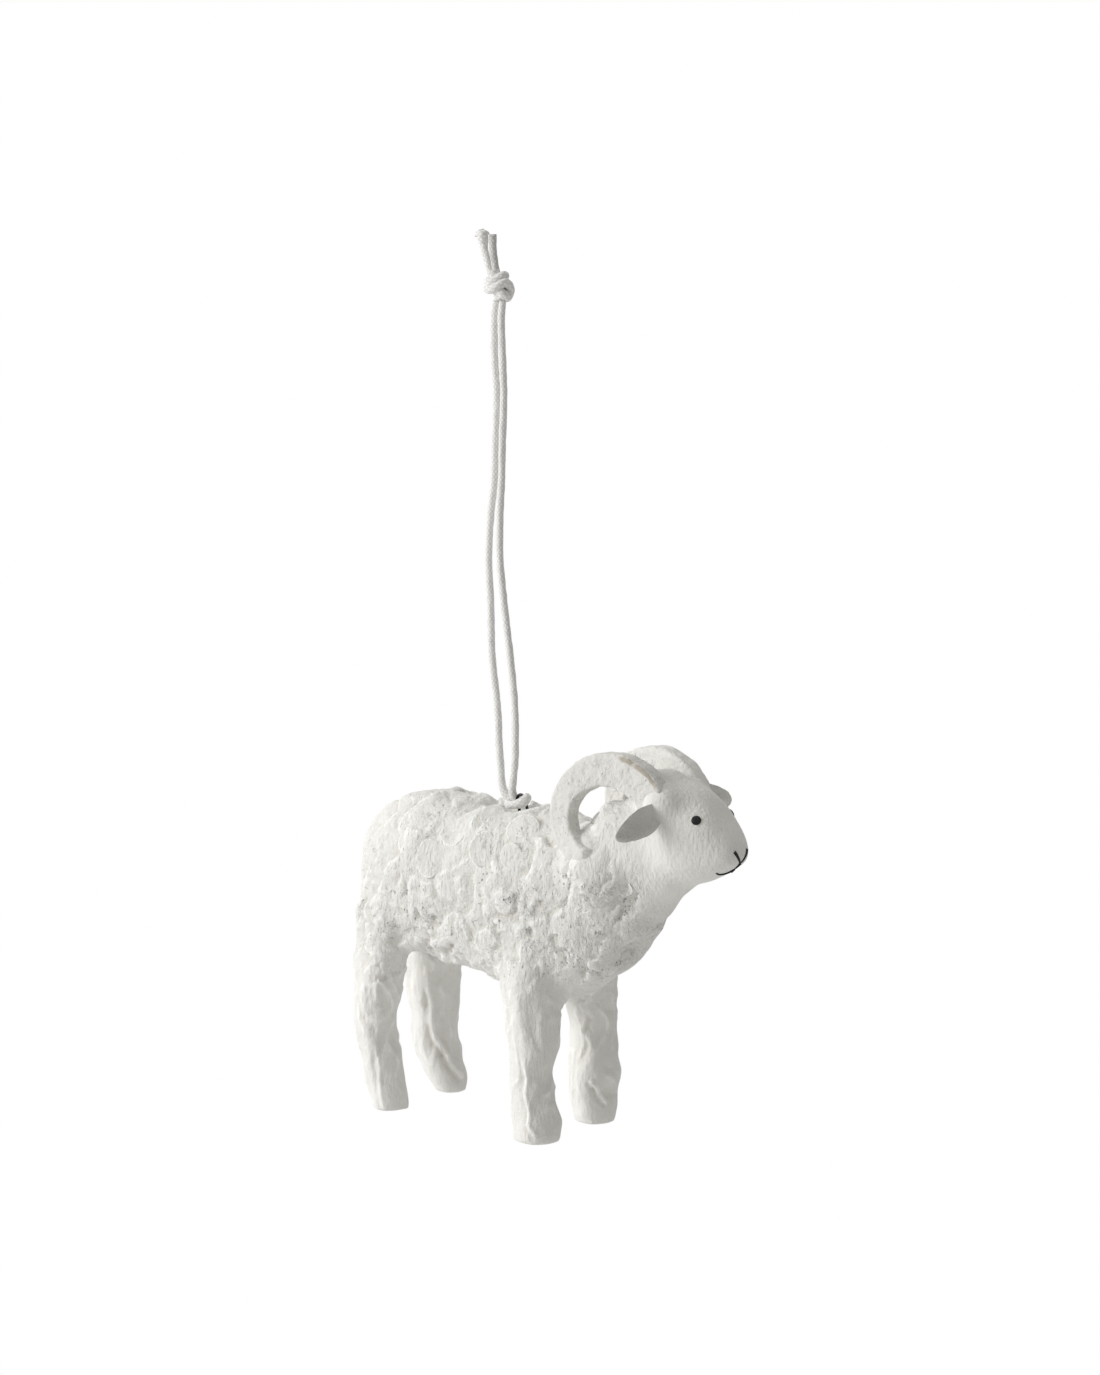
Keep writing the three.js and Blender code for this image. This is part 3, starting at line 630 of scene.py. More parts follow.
# Sculpting: heights that are added along the skin's normals
class Sculpt:
    def __init__(self, piece):
        self.piece = piece
        self.at = ram_places(piece)
        self.out = places_of(piece, "normal")
        self.height = np.zeros(len(self.at))
        self.woolly = np.zeros(len(self.at))
        self.tree = surface_tree(piece, self.at)

    # The spot of the skin that shows at a pixel of the picture
    def seen(self, px, py):
        return spot_at(self.tree, view_from - Vector(RAM_AT), px, py)

    # That spot, and the like one on the other side
    def seen_pair(self, px, py):
        spot, _facing = self.seen(px, py)
        return [(spot.x, side * spot.y, spot.z) for side in (1, -1)]

    # The skin on the other side that answers to a spot, and its facing
    def twin(self, spot):
        return self.tree.find_nearest(Vector((spot.x + TWIN_SHIFT, -spot.y, spot.z)))[:2]

    def distance(self, spot):
        return np.linalg.norm(self.at - np.array(spot), axis=1)

    # 1 at a spot, and softly less round it
    def nearness(self, spot, radius):
        return np.exp(-((self.distance(spot) / radius) ** 2))

    def close_to(self, spot, facing, reach):
        gap = self.at - np.array(spot)
        near = np.einsum("ij,ij->i", gap, gap) < reach * reach
        return np.nonzero(near & (self.out @ np.array(facing) > SAME_FACING))[0]

    # Across and up on the skin round a spot
    def chart(self, spot, facing, chosen):
        side = Vector((0, 0, 1)).cross(facing).normalized()
        rise = facing.cross(side)
        gap = self.at[chosen] - np.array(spot)
        return gap @ np.array(side), gap @ np.array(rise)

    # Room for a pressed-on curl: the skin is levelled round it and sunk under its closed side
    def press(self, spot, facing, radius, opening, swell):
        chosen = self.close_to(spot, facing, radius * 2.1)
        across, rise = self.chart(spot, facing, chosen)
        ring = np.hypot(across, rise) / radius
        level = 0.7 * self.height[chosen][ring < 1.2].mean()
        under = 1 - ramp(0.95, 1.6, ring)
        opens = np.cos(np.arctan2(rise, across) - math.radians(opening))
        closed = 1 - ramp(*CURL_CLOSES, opens)
        self.height[chosen] += (level - self.height[chosen]) * 0.85 * under
        if swell < 0:
            self.height[chosen] -= (0.4 - swell) * (1 - ramp(0.6, 0.95, ring)) * (0.15 + 0.85 * closed)
        else:
            lean = 0.5 - 0.5 * ring * opens
            self.height[chosen] += swell * lean * (1 - ramp(0.85, 1.0, ring))
            self.height[chosen] -= 0.7 * closed * ramp(0.9, 1.05, ring) * (1 - ramp(1.1, 1.8, ring))
        return level

    # A soft swelling or dent
    def swell(self, spot, radius, rise):
        gap = self.distance(spot) / radius
        self.height += rise * np.maximum(1 - gap * gap, 0) ** 2

    # A lump that stands up steeply on its left and falls away to its right
    def lump(self, spot, facing, radius, tall, rise):
        chosen = self.close_to(spot, facing, radius * 2)
        across, up = self.chart(spot, facing, chosen)
        ragged = np.array([noise.noise(Vector(p) * 0.45) for p in self.at[chosen]])
        ring = np.hypot(across, up / tall) / radius + 0.4 * ragged
        level = self.height[chosen][ring < 1].mean()
        inside = 1 - ramp(0.68, 1.05, ring)
        lean = 0.7 + (0.3 * up - 0.5 * across) / radius + 0.3 * ragged
        self.height[chosen] += inside * 0.8 * (level + rise * lean - self.height[chosen])
        self.height[chosen] -= 0.2 * rise * np.exp(-(((ring - 1.15) / 0.2) ** 2))

    # A fold along pixels of the picture: a ridge, with a groove on its one side
    def fold(self, pixels, width, rise):
        hits = [self.seen(*pixel) for pixel in pixels]
        for (a, facing), (b, _facing) in zip(hits, hits[1:]):
            chosen = self.close_to((a + b) / 2, facing, (b - a).length / 2 + width * 3)
            along = np.array((b - a).normalized())
            side = np.cross(along, np.array(facing))
            gap = self.at[chosen] - np.array(a)
            share = gap @ along / (b - a).length
            off = gap @ side
            ends = ramp(-0.15, 0.1, share) * (1 - ramp(0.9, 1.15, share))
            ridge = np.exp(-((off / width) ** 2))
            dip = np.exp(-(((off - 1.5 * width) / width) ** 2))
            self.height[chosen] += ends * (ridge * rise - dip * rise * FOLD_GROOVE)

    # Fleece: lobes that lap over each other, and crumbled, torn patches
    def fleece(self, weight, crumbly):
        for i in np.nonzero(weight > LEAST_WEIGHT)[0]:
            place = Vector(self.at[i])
            out = Vector(self.out[i])
            bent = place + noise.noise_vector(place * 0.12) * 3.6 + noise.noise_vector(place * 0.4) * 0.8
            soft = noise.turbulence(bent / 10.0, 2, True, amplitude_scale=0.5, frequency_scale=2.0)
            patch = crumbly[i] * min(1, max(0, noise.noise(place * 0.09) * 2.6 + 0.6))
            torn = noise.ridged_multi_fractal(bent / 5.0, 0.9, 2.2, 3, 1.0, 1.6)
            crumbs = noise.fractal(place / 1.7, 0.5, 2.1, 3)
            rise = 1.1 * (soft - 0.35) + (1.3 - 0.3 * crumbly[i]) * lobe(bent, LOBE_SIZE, out) - 0.35
            rise += patch * (0.6 * lobe(bent, CRUMB_SIZE, out) - 0.2 + 0.35 * (torn - 1.0) + 0.35 * crumbs)
            self.height[i] += weight[i] * rise

    # Long upright wrinkles, as of wet paper wrapped round a leg
    def wrinkle(self, weight, rise):
        for i in np.nonzero(weight > LEAST_WEIGHT)[0]:
            place = Vector(self.at[i])
            bent = place + noise.noise_vector(place * 0.1) * 3.5
            bent = Vector((bent.x / 4.2, bent.y / 4.2, bent.z / 13.0))
            crest = noise.ridged_multi_fractal(bent, 1.0, 2.1, 2, 1.0, 1.4)
            self.height[i] += weight[i] * rise * (crest - 1.0)

    # Hand-smoothed unevenness
    def knead(self, weight, size, rise):
        for i in np.nonzero(weight > LEAST_WEIGHT)[0]:
            self.height[i] += weight[i] * rise * noise.noise(Vector(self.at[i]) / size)

    # The heights are put on, and the skin is marked for the paint: recesses for darker cream that is partly
    # painted shade, crests for a painted highlight
    def apply(self, floor=None):
        at = self.at + self.out * self.height[:, None]
        if floor is not None:
            at[:, 2] = np.maximum(at[:, 2], floor)
        put_ram_places(self.piece, at)
        ends = np.empty(len(self.piece.data.edges) * 2, int)
        self.piece.data.edges.foreach_get("vertices", ends)
        count = np.maximum(np.bincount(ends, minlength=len(at)), 1)
        first, second = ends.reshape(-1, 2).T
        mean = self.height
        for _step in range(MEAN_STEPS):
            total = np.bincount(first, mean[second], len(at)) + np.bincount(second, mean[first], len(at))
            mean = total / count
        mark(self.piece, "recess", np.clip((mean - self.height) / FULL_CREST, 0, 1))
        mark(self.piece, "crest", np.clip((self.height - mean) / FULL_CREST, 0, 1))
        mark(self.piece, "woolly", self.woolly)


# Curls that show in the picture: pixel, radius in millimetres, where the rim opens in degrees, how round,
# and how far the curl swells at its rim, or dips inside it
SEEN_CURLS = [
    (452, 832, 3.7, 95, 1.0, -0.55), (431, 858, 4.0, 10, 1.15, 1.1), (523, 829, 4.3, -50, 0.95, 1.0),
    (493, 815, 2.8, -30, 1.1, 1.0), (483, 849, 3.4, -10, 1.25, 1.1), (512, 856, 3.0, -40, 1.0, 0.9),
    (625, 889, 1.8, 150, 1.1, -0.6),
]

# Lumps that show in the picture: pixel, radius in millimetres, how tall for its width, and height
SEEN_LUMPS = [
    (550, 884, 6.5, 0.8, 0.9), (504, 902, 3.2, 1.1, 0.8), (446, 889, 3.3, 0.9, 0.6),
    (414, 887, 2.6, 1.2, 0.6), (401, 889, 1.5, 1.3, 0.6), (426, 912, 2.6, 1.1, 0.6),
    (489, 938, 3.7, 0.7, 0.7), (542, 930, 3.8, 1.0, 0.8), (528, 951, 3.4, 1.0, 0.8),
    (462, 931, 2.4, 1.4, 0.6),
]

# Where the throat and the thigh's fold are fuller, and the breast and the back behind the hitch lower:
# pixel, radius and height in millimetres
PROFILE_SWELLS = [(669, 915, 8, 0.8), (640, 955, 8, -1.6), (394, 938, 9, 1.0), (470, 788, 6, -0.9)]

# Smooth places in the fleece: pixel, radius in millimetres and how smooth
SMOOTH_SPOTS = [(606, 852, 6, 0.85), (560, 900, 6, 0.5), (548, 985, 7, 0.5), (450, 870, 5, 0.5)]

# Greyer places of painted shade, beside the ear and on the temple where the ear and the horn shade the head:
# pixel, radius in millimetres and strength
PAINTED_SHADE_SPOTS = [(653, 826, 5, 0.45), (688, 793, 9, 0.35)]

# Folds that show in the picture: the pixels along them, width and height in millimetres
SEEN_FOLDS = [
    ([(419, 907), (424, 915), (426, 926), (432, 935), (437, 945)], 0.9, 0.7),
    ([(461, 920), (466, 930), (468, 939)], 0.8, 0.5),
    ([(376, 1045), (378, 1062), (379, 1085), (384, 1108)], 0.6, 0.3),
    ([(428, 988), (432, 1006), (431, 1020), (435, 1038), (446, 1052), (452, 1066), (462, 1078)], 0.8, 0.7),
    ([(523, 1062), (527, 1078), (525, 1094), (529, 1112), (528, 1126), (536, 1137)], 0.55, 0.5),
    ([(590, 1081), (597, 1088), (600, 1096), (607, 1103)], 0.6, 0.6),
    ([(578, 1060), (583, 1045), (581, 1032), (586, 1018)], 0.6, 0.4),
]


# A flat curl of pulp pressed on the skin: its rim stands proud, and it sinks into the skin at its opening
CURL_RINGS = (0.12, 0.3, 0.45, 0.6, 0.7, 0.78, 0.84, 0.88, 0.915, 0.945, 0.97, 0.99, 1.01, 1.03, 1.06, 1.1)
CURL_AROUND = 64
CURL_CLOSES = (-0.45, 0.45)
CURL_SKIRT = 2.4
CURL_WOOLLY = 0.4


def curl_plate(work, spot, facing, radius, opening, tall, swell):
    level = work.press(spot, facing, radius, opening, swell)
    side = Vector((0, 0, 1)).cross(facing).normalized()
    rise = facing.cross(side)
    corners = []
    recess = []
    crest = []
    for ring in (0, *CURL_RINGS):
        for n in range(CURL_AROUND if ring > 0 else 1):
            turn = 2 * math.pi * n / CURL_AROUND
            wobble = 1 + 0.05 * math.sin(2 * turn + radius * 9) + 0.035 * math.sin(3 * turn + radius * 5)
            reach = ring * radius * wobble
            flat = spot + side * reach * math.cos(turn) + rise * reach * math.sin(turn) * tall
            ground, up, _face, _far = work.tree.find_nearest(flat)
            opens = math.cos(turn - math.radians(opening))
            closed = 1 - ramp(*CURL_CLOSES, opens)
            height = level + 0.2 * noise.noise(flat * 0.45) * closed - CURL_SKIRT * ramp(0.97, 1.1, ring)
            if swell > 0:
                height += swell * (0.5 - 0.5 * ring * opens)
                height += 0.16 - 0.4 * ramp(-0.2, 0.6, ring * opens)
            else:
                height += swell * (1 - ring * ring) - 0.05 + (0.85 * closed - 0.55) * ramp(0.3, 0.9, ring)
            corners.append((ground + up * height + Vector(RAM_AT)) * MM)
            # Painted shade darkens the dip outside the closed rim, and a painted highlight lightens the rim
            recess.append(closed * 0.6 * ramp(0.99, 1.06, ring))
            crest.append(closed * ramp(0.85, 0.95, ring))
    faces = [(0, 1 + n, 1 + (n + 1) % CURL_AROUND) for n in range(CURL_AROUND)]
    for ring in range(len(CURL_RINGS) - 1):
        first = 1 + ring * CURL_AROUND
        for n in range(CURL_AROUND):
            k = (n + 1) % CURL_AROUND
            faces.append((first + n, first + CURL_AROUND + n, first + CURL_AROUND + k, first + k))
    piece = new_piece("curl", corners, faces)
    mark(piece, "recess", recess)
    mark(piece, "crest", crest)
    mark(piece, "woolly", np.full(len(corners), CURL_WOOLLY))
    return piece


# Bare places: middle, and over which distance from it the wool begins
FACE_MIDDLE = (63, 0, 77)
FACE_EDGE = (14, 21)
THROAT_MIDDLE = (58, 0, 64)
THROAT_EDGE = (6, 13)

# Heights over which a leg passes into the body, its painted wool begins, and its wrinkles begin and end
LEG_TOP = (20, 44)
WOOL_STARTS = (26, 50)
WRINKLES_START = (2, 8)
WRINKLES_END = (28, 44)

# Rump: from where to where along the ram and up it, how much smoother it is, and where its end is cut back
RUMP_LENGTH = (-42, -10)
RUMP_HEIGHT = (42, 62)
RUMP_SMOOTH = 0.65
RUMP_END = (-38, -31)
RUMP_END_HEIGHT = (40, 52)

# Back, shoulder and breast: where each begins, how smooth the back is and how flat the breast
BACK_HEIGHT = (60, 68)
BACK_SMOOTH = 0.65
SHOULDER_LENGTH = (26, 36)
SHOULDER_TOP = (64, 72)
BREAST_LENGTH = (39, 47)
BREAST_TOP = (64, 74)
BREAST_FLAT = 0.9

# Hollow under the hitch, with room for the nod: its middle, how long it is for its width, its edge and depth
HOLLOW_X = 8.0
HOLLOW_Y = -0.8
HOLLOW_LONG = 1.6
HOLLOW_EDGE = (2.0, 6.5)
HOLLOW_HEIGHT = (60, 70)
HOLLOW_DEEP = 2.7


# How woolly and how crumbled the skin is
def fleece_weights(work):
    x, _y, z = work.at.T
    face = 1 - ramp(*FACE_EDGE, work.distance(FACE_MIDDLE))
    throat = 1 - ramp(*THROAT_EDGE, work.distance(THROAT_MIDDLE))
    rump = (1 - ramp(*RUMP_LENGTH, x)) * ramp(*RUMP_HEIGHT, z)
    fleece = (1 - np.maximum(face, throat)) * ramp(*LEG_TOP, z) * (1 - RUMP_SMOOTH * rump)
    for px, py, radius, strength in SMOOTH_SPOTS:
        for spot in work.seen_pair(px, py):
            fleece *= 1 - strength * work.nearness(spot, radius)
    shoulder = ramp(*SHOULDER_LENGTH, x) * (1 - ramp(*SHOULDER_TOP, z))
    return fleece, np.maximum(1 - BACK_SMOOTH * ramp(*BACK_HEIGHT, z), shoulder)


def sculpted_skin():
    skin = base_skin()
    work = Sculpt(skin)
    x, y, z = work.at.T
    fleece, crumbly = fleece_weights(work)
    work.woolly = fleece * (0.35 + 0.65 * crumbly) * ramp(*WOOL_STARTS, z)
    work.fleece(fleece, crumbly)
    breast = ramp(*BREAST_LENGTH, x) * (1 - ramp(*BREAST_TOP, z))
    work.height = np.where(work.height > 0, work.height * (1 - BREAST_FLAT * breast), work.height)
    work.knead(1 - fleece * 0.7, 7.0, 0.45)
    work.knead(1 - ramp(*LEG_TOP, z), 3.0, 0.2)
    work.wrinkle((1 - ramp(*WRINKLES_END, z)) * ramp(*WRINKLES_START, z), 0.55)
    work.height -= (1 - ramp(*RUMP_END, x)) * ramp(*RUMP_END_HEIGHT, z)
    from_hitch = np.hypot((x - HOLLOW_X) / HOLLOW_LONG, y - HOLLOW_Y)
    hollow = (1 - ramp(*HOLLOW_EDGE, from_hitch)) * ramp(*HOLLOW_HEIGHT, z)
    work.height -= (work.height + HOLLOW_DEEP) * hollow
    for px, py, radius, rise in PROFILE_SWELLS:
        for spot in work.seen_pair(px, py):
            work.swell(spot, radius, rise)
    for px, py, radius, tall, rise in SEEN_LUMPS:
        spot, facing = work.seen(px, py)
        work.lump(spot, facing, radius, tall, rise)
        work.lump(*work.twin(spot), radius, tall, rise)
    curls = {"right": [], "left": []}
    for px, py, radius, opening, tall, swell in SEEN_CURLS:
        spot, facing = work.seen(px, py)
        curls["right"].append(curl_plate(work, spot, facing, radius, opening, tall, swell))
        opening = TWIN_OPENING - opening
        curls["left"].append(curl_plate(work, *work.twin(spot), radius, opening, tall, swell))
    for pixels, width, rise in SEEN_FOLDS:
        work.fold(pixels, width, rise)
    work.apply(floor=0)
    # Painted shade beside the ear and on the temple
    painted_shade = np.zeros(len(work.at))
    for px, py, radius, strength in PAINTED_SHADE_SPOTS:
        for spot in work.seen_pair(px, py):
            painted_shade = np.maximum(painted_shade, strength * work.nearness(spot, radius))
    mark(skin, "painted_shade", painted_shade)
    worked(skin, "SMOOTH", factor=0.25, iterations=1)
    return skin, curls


skin, curls = sculpted_skin()
finished(skin, "ram_skin", FLEECE_PAINT)
for side_name, plates in curls.items():
    piece = finished(joined(plates), f"curls_{side_name}", FLEECE_PAINT)
    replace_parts(piece, *[f"curl_{side_name}_{n}" for n in range(1, 13)])
    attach(piece, "ram")
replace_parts(skin, "torso_shell", "neck", "head", *LEGS)
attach(skin, "ram")


# Horns: flat straps bent into open rings that lean out, with a worn brown edge near the head
HORN_X = 45.1
HORN_Z = 80.2
HORN_REACH = 12.5
HORN_RISE = 10.6
HORN_START = 8
HORN_END = 283
HORN_ROOT_Y = 7.2
HORN_SPLAY = 4.6
HORN_END_SPLAY = 2.6
HORN_SINK = 8.0
HORN_SINKS = (0.87, 1.0)
HORN_SQUARE = 7
HORN_WOOLLY = 0.45
horn_wide = line_through((0, 8.4), (0.28, 8.1), (0.55, 6.4), (0.92, 4.9), (1, 4.6))
horn_thick = line_through((0, 5.2), (0.55, 4.6), (1, 4.0))

# Brown edge: over which shares of the ring and of the thickness it begins, and its angles in degrees
RIM_RING = (1.22, 1.32)
RIM_OUTWARD = (0.36, 0.46)
RIM_STARTS = (6, 16)
RIM_ENDS = (66, 86)


# How far out to the side the horn's middle is; the end sinks into the wool
def horn_middle(share):
    splayed = HORN_ROOT_Y + HORN_SPLAY * share + HORN_END_SPLAY * share ** 3
    return splayed - HORN_SINK * ramp(*HORN_SINKS, share)


def horn(name, side, paint):
    def rule(share, turn, full, _along):
        angle = np.radians(HORN_START + (HORN_END - HORN_START) * share)
        reach = soft_square(turn, HORN_SQUARE) * full / 2
        out = np.cos(turn) * reach * horn_wide(share)
        x = HORN_X + (HORN_REACH + out) * np.cos(angle)
        z = HORN_Z + (HORN_RISE + out) * np.sin(angle)
        y = side * horn_middle(share) + np.sin(turn) * reach * horn_thick(share)
        return np.stack((x, y, z), 1)

    piece = rolled(80, 160, rule)
    work = Sculpt(piece)
    everywhere = np.ones(len(work.at))
    work.knead(everywhere, 4.0, 0.22)
    work.knead(everywhere, 1.3, 0.14)
    work.woolly += HORN_WOOLLY
    work.apply()
    x, y, z = work.at.T
    ring = np.hypot((x - HORN_X) / HORN_REACH, (z - HORN_Z) / HORN_RISE)
    angle = np.degrees(np.arctan2(z - HORN_Z, x - HORN_X))
    share = np.clip((angle - HORN_START) / (HORN_END - HORN_START), 0, 1)
    outward = (side * y - horn_middle(share)) / horn_thick(share)
    edge = ramp(*RIM_RING, ring) * ramp(*RIM_OUTWARD, outward)
    mark(piece, "rim", edge * (1 - ramp(*RIM_ENDS, angle)) * ramp(*RIM_STARTS, angle))
    finished(piece, name, paint)
    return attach(piece, "ram")


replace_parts(horn("curled_horn_right", -1, HORN_PAINT), "horn_right")
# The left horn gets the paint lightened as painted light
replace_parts(horn("curled_horn_left", 1, LIT_HORN_PAINT), "horn_left")


# Ears: cupped leaves with the hollow turned forwards. Each has its side, its root, its droop, sweep and tilt
# in degrees, its length, half width and depth in millimetres, and how blunt the leaf is.
EAR_THICK = 0.9
EAR_ROOT_BLUNT = 1.7
EAR_TAPER = 0.25
EAR_WOOLLY = 0.2
EARS = {
    "right": (-1, (58.7, -7, 83.0), (23, 9, -22), 16.2, 3.2, 2.0, 2.2),
    "left": (1, (56.8, 7, 86.7), (36, 6, 26), 16.2, 4.0, 3.4, 3.0),
}


def ear(name, side, root, angles, length, half, deep, blunt):
    droop, sweep, tilt = np.radians(angles)
    out = Vector((-math.sin(sweep), side * math.cos(sweep), -math.sin(droop))).normalized()
    lean = Vector((math.cos(tilt), 0, -math.sin(tilt)))
    hollow = (lean - out * lean.dot(out)).normalized()
    across = hollow.cross(out)

    def rule(_share, turn, _full, along):
        point = np.where(along > 0, blunt, EAR_ROOT_BLUNT)
        wide = np.maximum(1 - np.abs(along) ** point, 0) ** (1 / point)
        u = np.cos(turn) * wide
        v = np.sin(turn) * wide
        reach = (along + 1) / 2 * length
        taper = 1 - EAR_TAPER * np.maximum(along, 0) ** 2
        cup = deep * u * u
        spot = np.array(root) + np.outer(reach, np.array(out)) + np.outer(u * half * taper, np.array(across))
        return spot + np.outer(cup + v * EAR_THICK, np.array(hollow))

    piece = rolled(56, 48, rule)
    work = Sculpt(piece)
    everywhere = np.ones(len(work.at))
    work.knead(everywhere, 3.0, 0.4)
    work.knead(everywhere, 1.2, 0.12)
    work.woolly += EAR_WOOLLY
    work.apply()
    from_root = (work.at - np.array(root)) @ np.array(out)
    # The ear's hollow is greyed as painted shade, more so away from its root
    mark(piece, "painted_shade", ramp(0.1, 0.6, work.out @ np.array(hollow)) * ramp(1, 10, from_root))
    finished(piece, name, EAR_PAINT)
    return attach(piece, "ram")


for side_name, leaf in EARS.items():
    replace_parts(ear(f"cupped_ear_{side_name}", *leaf), f"ear_{side_name}")


# Eyes: raised drops of black paint, a little higher than the solids' eyes
EYE_RAISE = 0.8
EYE_RADII = (1.15, 1.15, 0.55)


def eye_drop(name, node):
    low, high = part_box(node)
    middle = (Vector(low) + Vector(high)) / 2 + Vector((0, 0, EYE_RAISE * MM))
    spot, facing, _face, _far = face_tree.find_nearest(middle)
    drop = ball(32, 20)
    turn = facing.to_track_quat("Z", "Y").to_matrix()
    flat = places_of(drop) * np.array(EYE_RADII) * MM
    put_places(drop, flat @ np.array(turn).T + np.array(spot))
    finished(drop, name, BLACK)
    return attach(drop, "ram")


face_tree = surface_tree(skin, places_of(skin))
for side_name in ("right", "left"):
    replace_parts(eye_drop(f"eye_drop_{side_name}", f"eye_{side_name}"), f"eye_{side_name}")


# A round tube along points, in millimetres, with a swelling along its length and an uneven surface
TUBE_STEP = 0.35
EVEN = ((0, 1), (1, 1))


def tube(name, route, radius, material, sides=20, step=TUBE_STEP, swell=EVEN, uneven=0.0):
    points = smooth_route(route, step)
    tangents = np.gradient(points, axis=0)
    tangents /= np.linalg.norm(tangents, axis=1)[:, None]
    side = np.cross(tangents[0], (0, 1, 0.01))
    frames = []
    for t in tangents:
        side = side - t * (side @ t)
        side /= np.linalg.norm(side)
        frames.append((side, np.cross(t, side)))
    run = np.concatenate(([0], np.cumsum(np.linalg.norm(np.diff(points, axis=0), axis=1))))
    turn = np.linspace(0, 2 * math.pi, sides, endpoint=False)
    rings = []
    sizes = radius * line_through(*swell)(run / run[-1])
    for i, (a, b) in enumerate(frames):
        ways = np.outer(np.cos(turn), a) + np.outer(np.sin(turn), b)
        bumps = np.array([noise.noise(Vector(points[i] * 0.6 + way * 0.9)) for way in ways])
        size = sizes[i] * (1 + uneven * bumps)
        rings.append(points[i] + ways * size[:, None])
    corners = np.concatenate((*rings, points[:1], points[-1:])) * MM
    count = len(rings)
    faces = []
    winds = []
    for i in range(count - 1):
        for j in range(sides):
            k = (j + 1) % sides
            faces.append((i * sides + j, i * sides + k, (i + 1) * sides + k, (i + 1) * sides + j))
            u, w = run[i] * MM, run[i + 1] * MM
            winds += [(u, j / sides), (u, (j + 1) / sides), (w, (j + 1) / sides), (w, j / sides)]
    for j in range(sides):
        k = (j + 1) % sides
        faces.append((count * sides, k, j))
        faces.append((count * sides + 1, (count - 1) * sides + j, (count - 1) * sides + k))
        winds += [(0, 0)] * 3 + [(run[-1] * MM, 0)] * 3
    piece = new_piece(name, corners, faces)
    layer = piece.data.uv_layers.new(name="wind")
    layer.data.foreach_set("uv", np.array(winds, np.float32).ravel())
    piece.data.validate()
    return finished(piece, name, material)


# Points a step apart on a smooth curve through a route
def smooth_route(route, step):
    p = np.array(route, float)
    p = np.concatenate((2 * p[:1] - p[1:2], p, 2 * p[-1:] - p[-2:-1]))
    points = []
    for a, b, c, d in zip(p, p[1:], p[2:], p[3:]):
        count = max(2, int(np.linalg.norm(c - b) / step))
        for t in np.linspace(0, 1, count, endpoint=False):
            points.append(0.5 * (2 * b + (c - a) * t + (2 * a - 5 * b + 4 * c - d) * t * t
                                 + (3 * b - a - 3 * c + d) * t ** 3))
    points.append(p[-2])
    return np.array(points)


# Nose and mouth: thin black brush lines on the muzzle, as (across, height) of the ram's right half
NOSE_LINES = [
    [(-2.5, 73.7), (-1.9, 72.8), (-0.8, 71.5), (0, 70.7)],
    [(0, 70.7), (0, 69.9), (0, 69.2)],
    [(0, 69.2), (-0.9, 68.5), (-1.9, 68.2), (-3.0, 68.2), (-3.9, 68.6)],
]
BRUSH = 0.31
BRUSH_SWELL = ((0, 1.3), (1, 0.75))
AHEAD_OF_NOSE = 100


def brush_line(name, line, mirror):
    places = []
    for across, height in line:
        start = (Vector((AHEAD_OF_NOSE, across * mirror, height)) + Vector(RAM_AT)) * MM
        places.append(np.array(face_tree.ray_cast(start, Vector((-1, 0, 0)))[0]) / MM)
    return tube(name, places, BRUSH, BLACK, sides=10, step=0.25, swell=BRUSH_SWELL)


strokes = [brush_line(f"stroke_{n}_{mirror}", line, mirror)
           for n, line in enumerate(NOSE_LINES) for mirror in (1, -1)]
muzzle_paint = finished(joined(strokes), "muzzle_paint", BLACK)
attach(muzzle_paint, "ram")


# Hanging eye: a hairpin of thin wire in the back, in the part's frame
PIN_X = 7.0
PIN_BOW = 1.3
WIRE_TOP = -118.0
PIN_CENTRE = WIRE_TOP - PIN_BOW
PIN_LEAN = -0.8
PIN_LOW = PIN_CENTRE - 8
PIN_BEND = PIN_CENTRE - 3
WIRE_RADIUS = 0.35


def hairpin():
    rear, front, bow = PIN_X - PIN_BOW, PIN_X + PIN_BOW, PIN_X + PIN_LEAN
    route = [(rear, 0, PIN_LOW), (rear, 0, PIN_BEND)]
    for turn in np.linspace(math.pi, 0, 9):
        route.append((bow + PIN_BOW * math.cos(turn), 0, PIN_CENTRE + PIN_BOW * math.sin(turn)))
    route += [(front, 0, PIN_BEND), (front, 0, PIN_LOW)]
    wire = tube("wire_eye", route, WIRE_RADIUS, EYE_WIRE, sides=16, step=0.2)
    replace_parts(wire, "hanging_eye")
    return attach(wire, "ram")


hairpin()

# Cord: two strands from the hitch to the knot, by height, the middle between them and half their distance
CORD_RADIUS = 0.9
CORD_UNEVEN = 0.12
STRAND_ROUTE = [
    (-115, 1.8, 1.85), (-111, 1.9, 2.25), (-106.5, 1.8, 2.55), (-96, 1.4, 2.8), (-84.5, -0.1, 2.9),
    (-72.5, -1.2, 2.2), (-61, -2.2, 1.8), (-50.5, -1.9, 1.5), (-41.5, -1.0, 1.15), (-31.7, -0.7, 1.1),
    (-21.5, -0.2, 1.1), (-12, -0.75, 1.25), (-3, -0.95, 1.1), (1.7, -0.4, 1.0),
]


def cotton_tube(name, route, radius=CORD_RADIUS, swell=EVEN, uneven=CORD_UNEVEN):
    return tube(name, route, radius, CORD_COTTON, swell=swell, uneven=uneven)


def strand(name, node, side):
    route = [(middle + side * half, 0, height) for height, middle, half in STRAND_ROUTE]
    piece = cotton_tube(name, route)
    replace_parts(piece, node)
    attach(piece, "cord")
    return piece, smooth_route(route, TUBE_STEP)


strands = [strand("strand_rear", "cord_strand_rear", -1), strand("strand_front", "cord_strand_front", 1)]


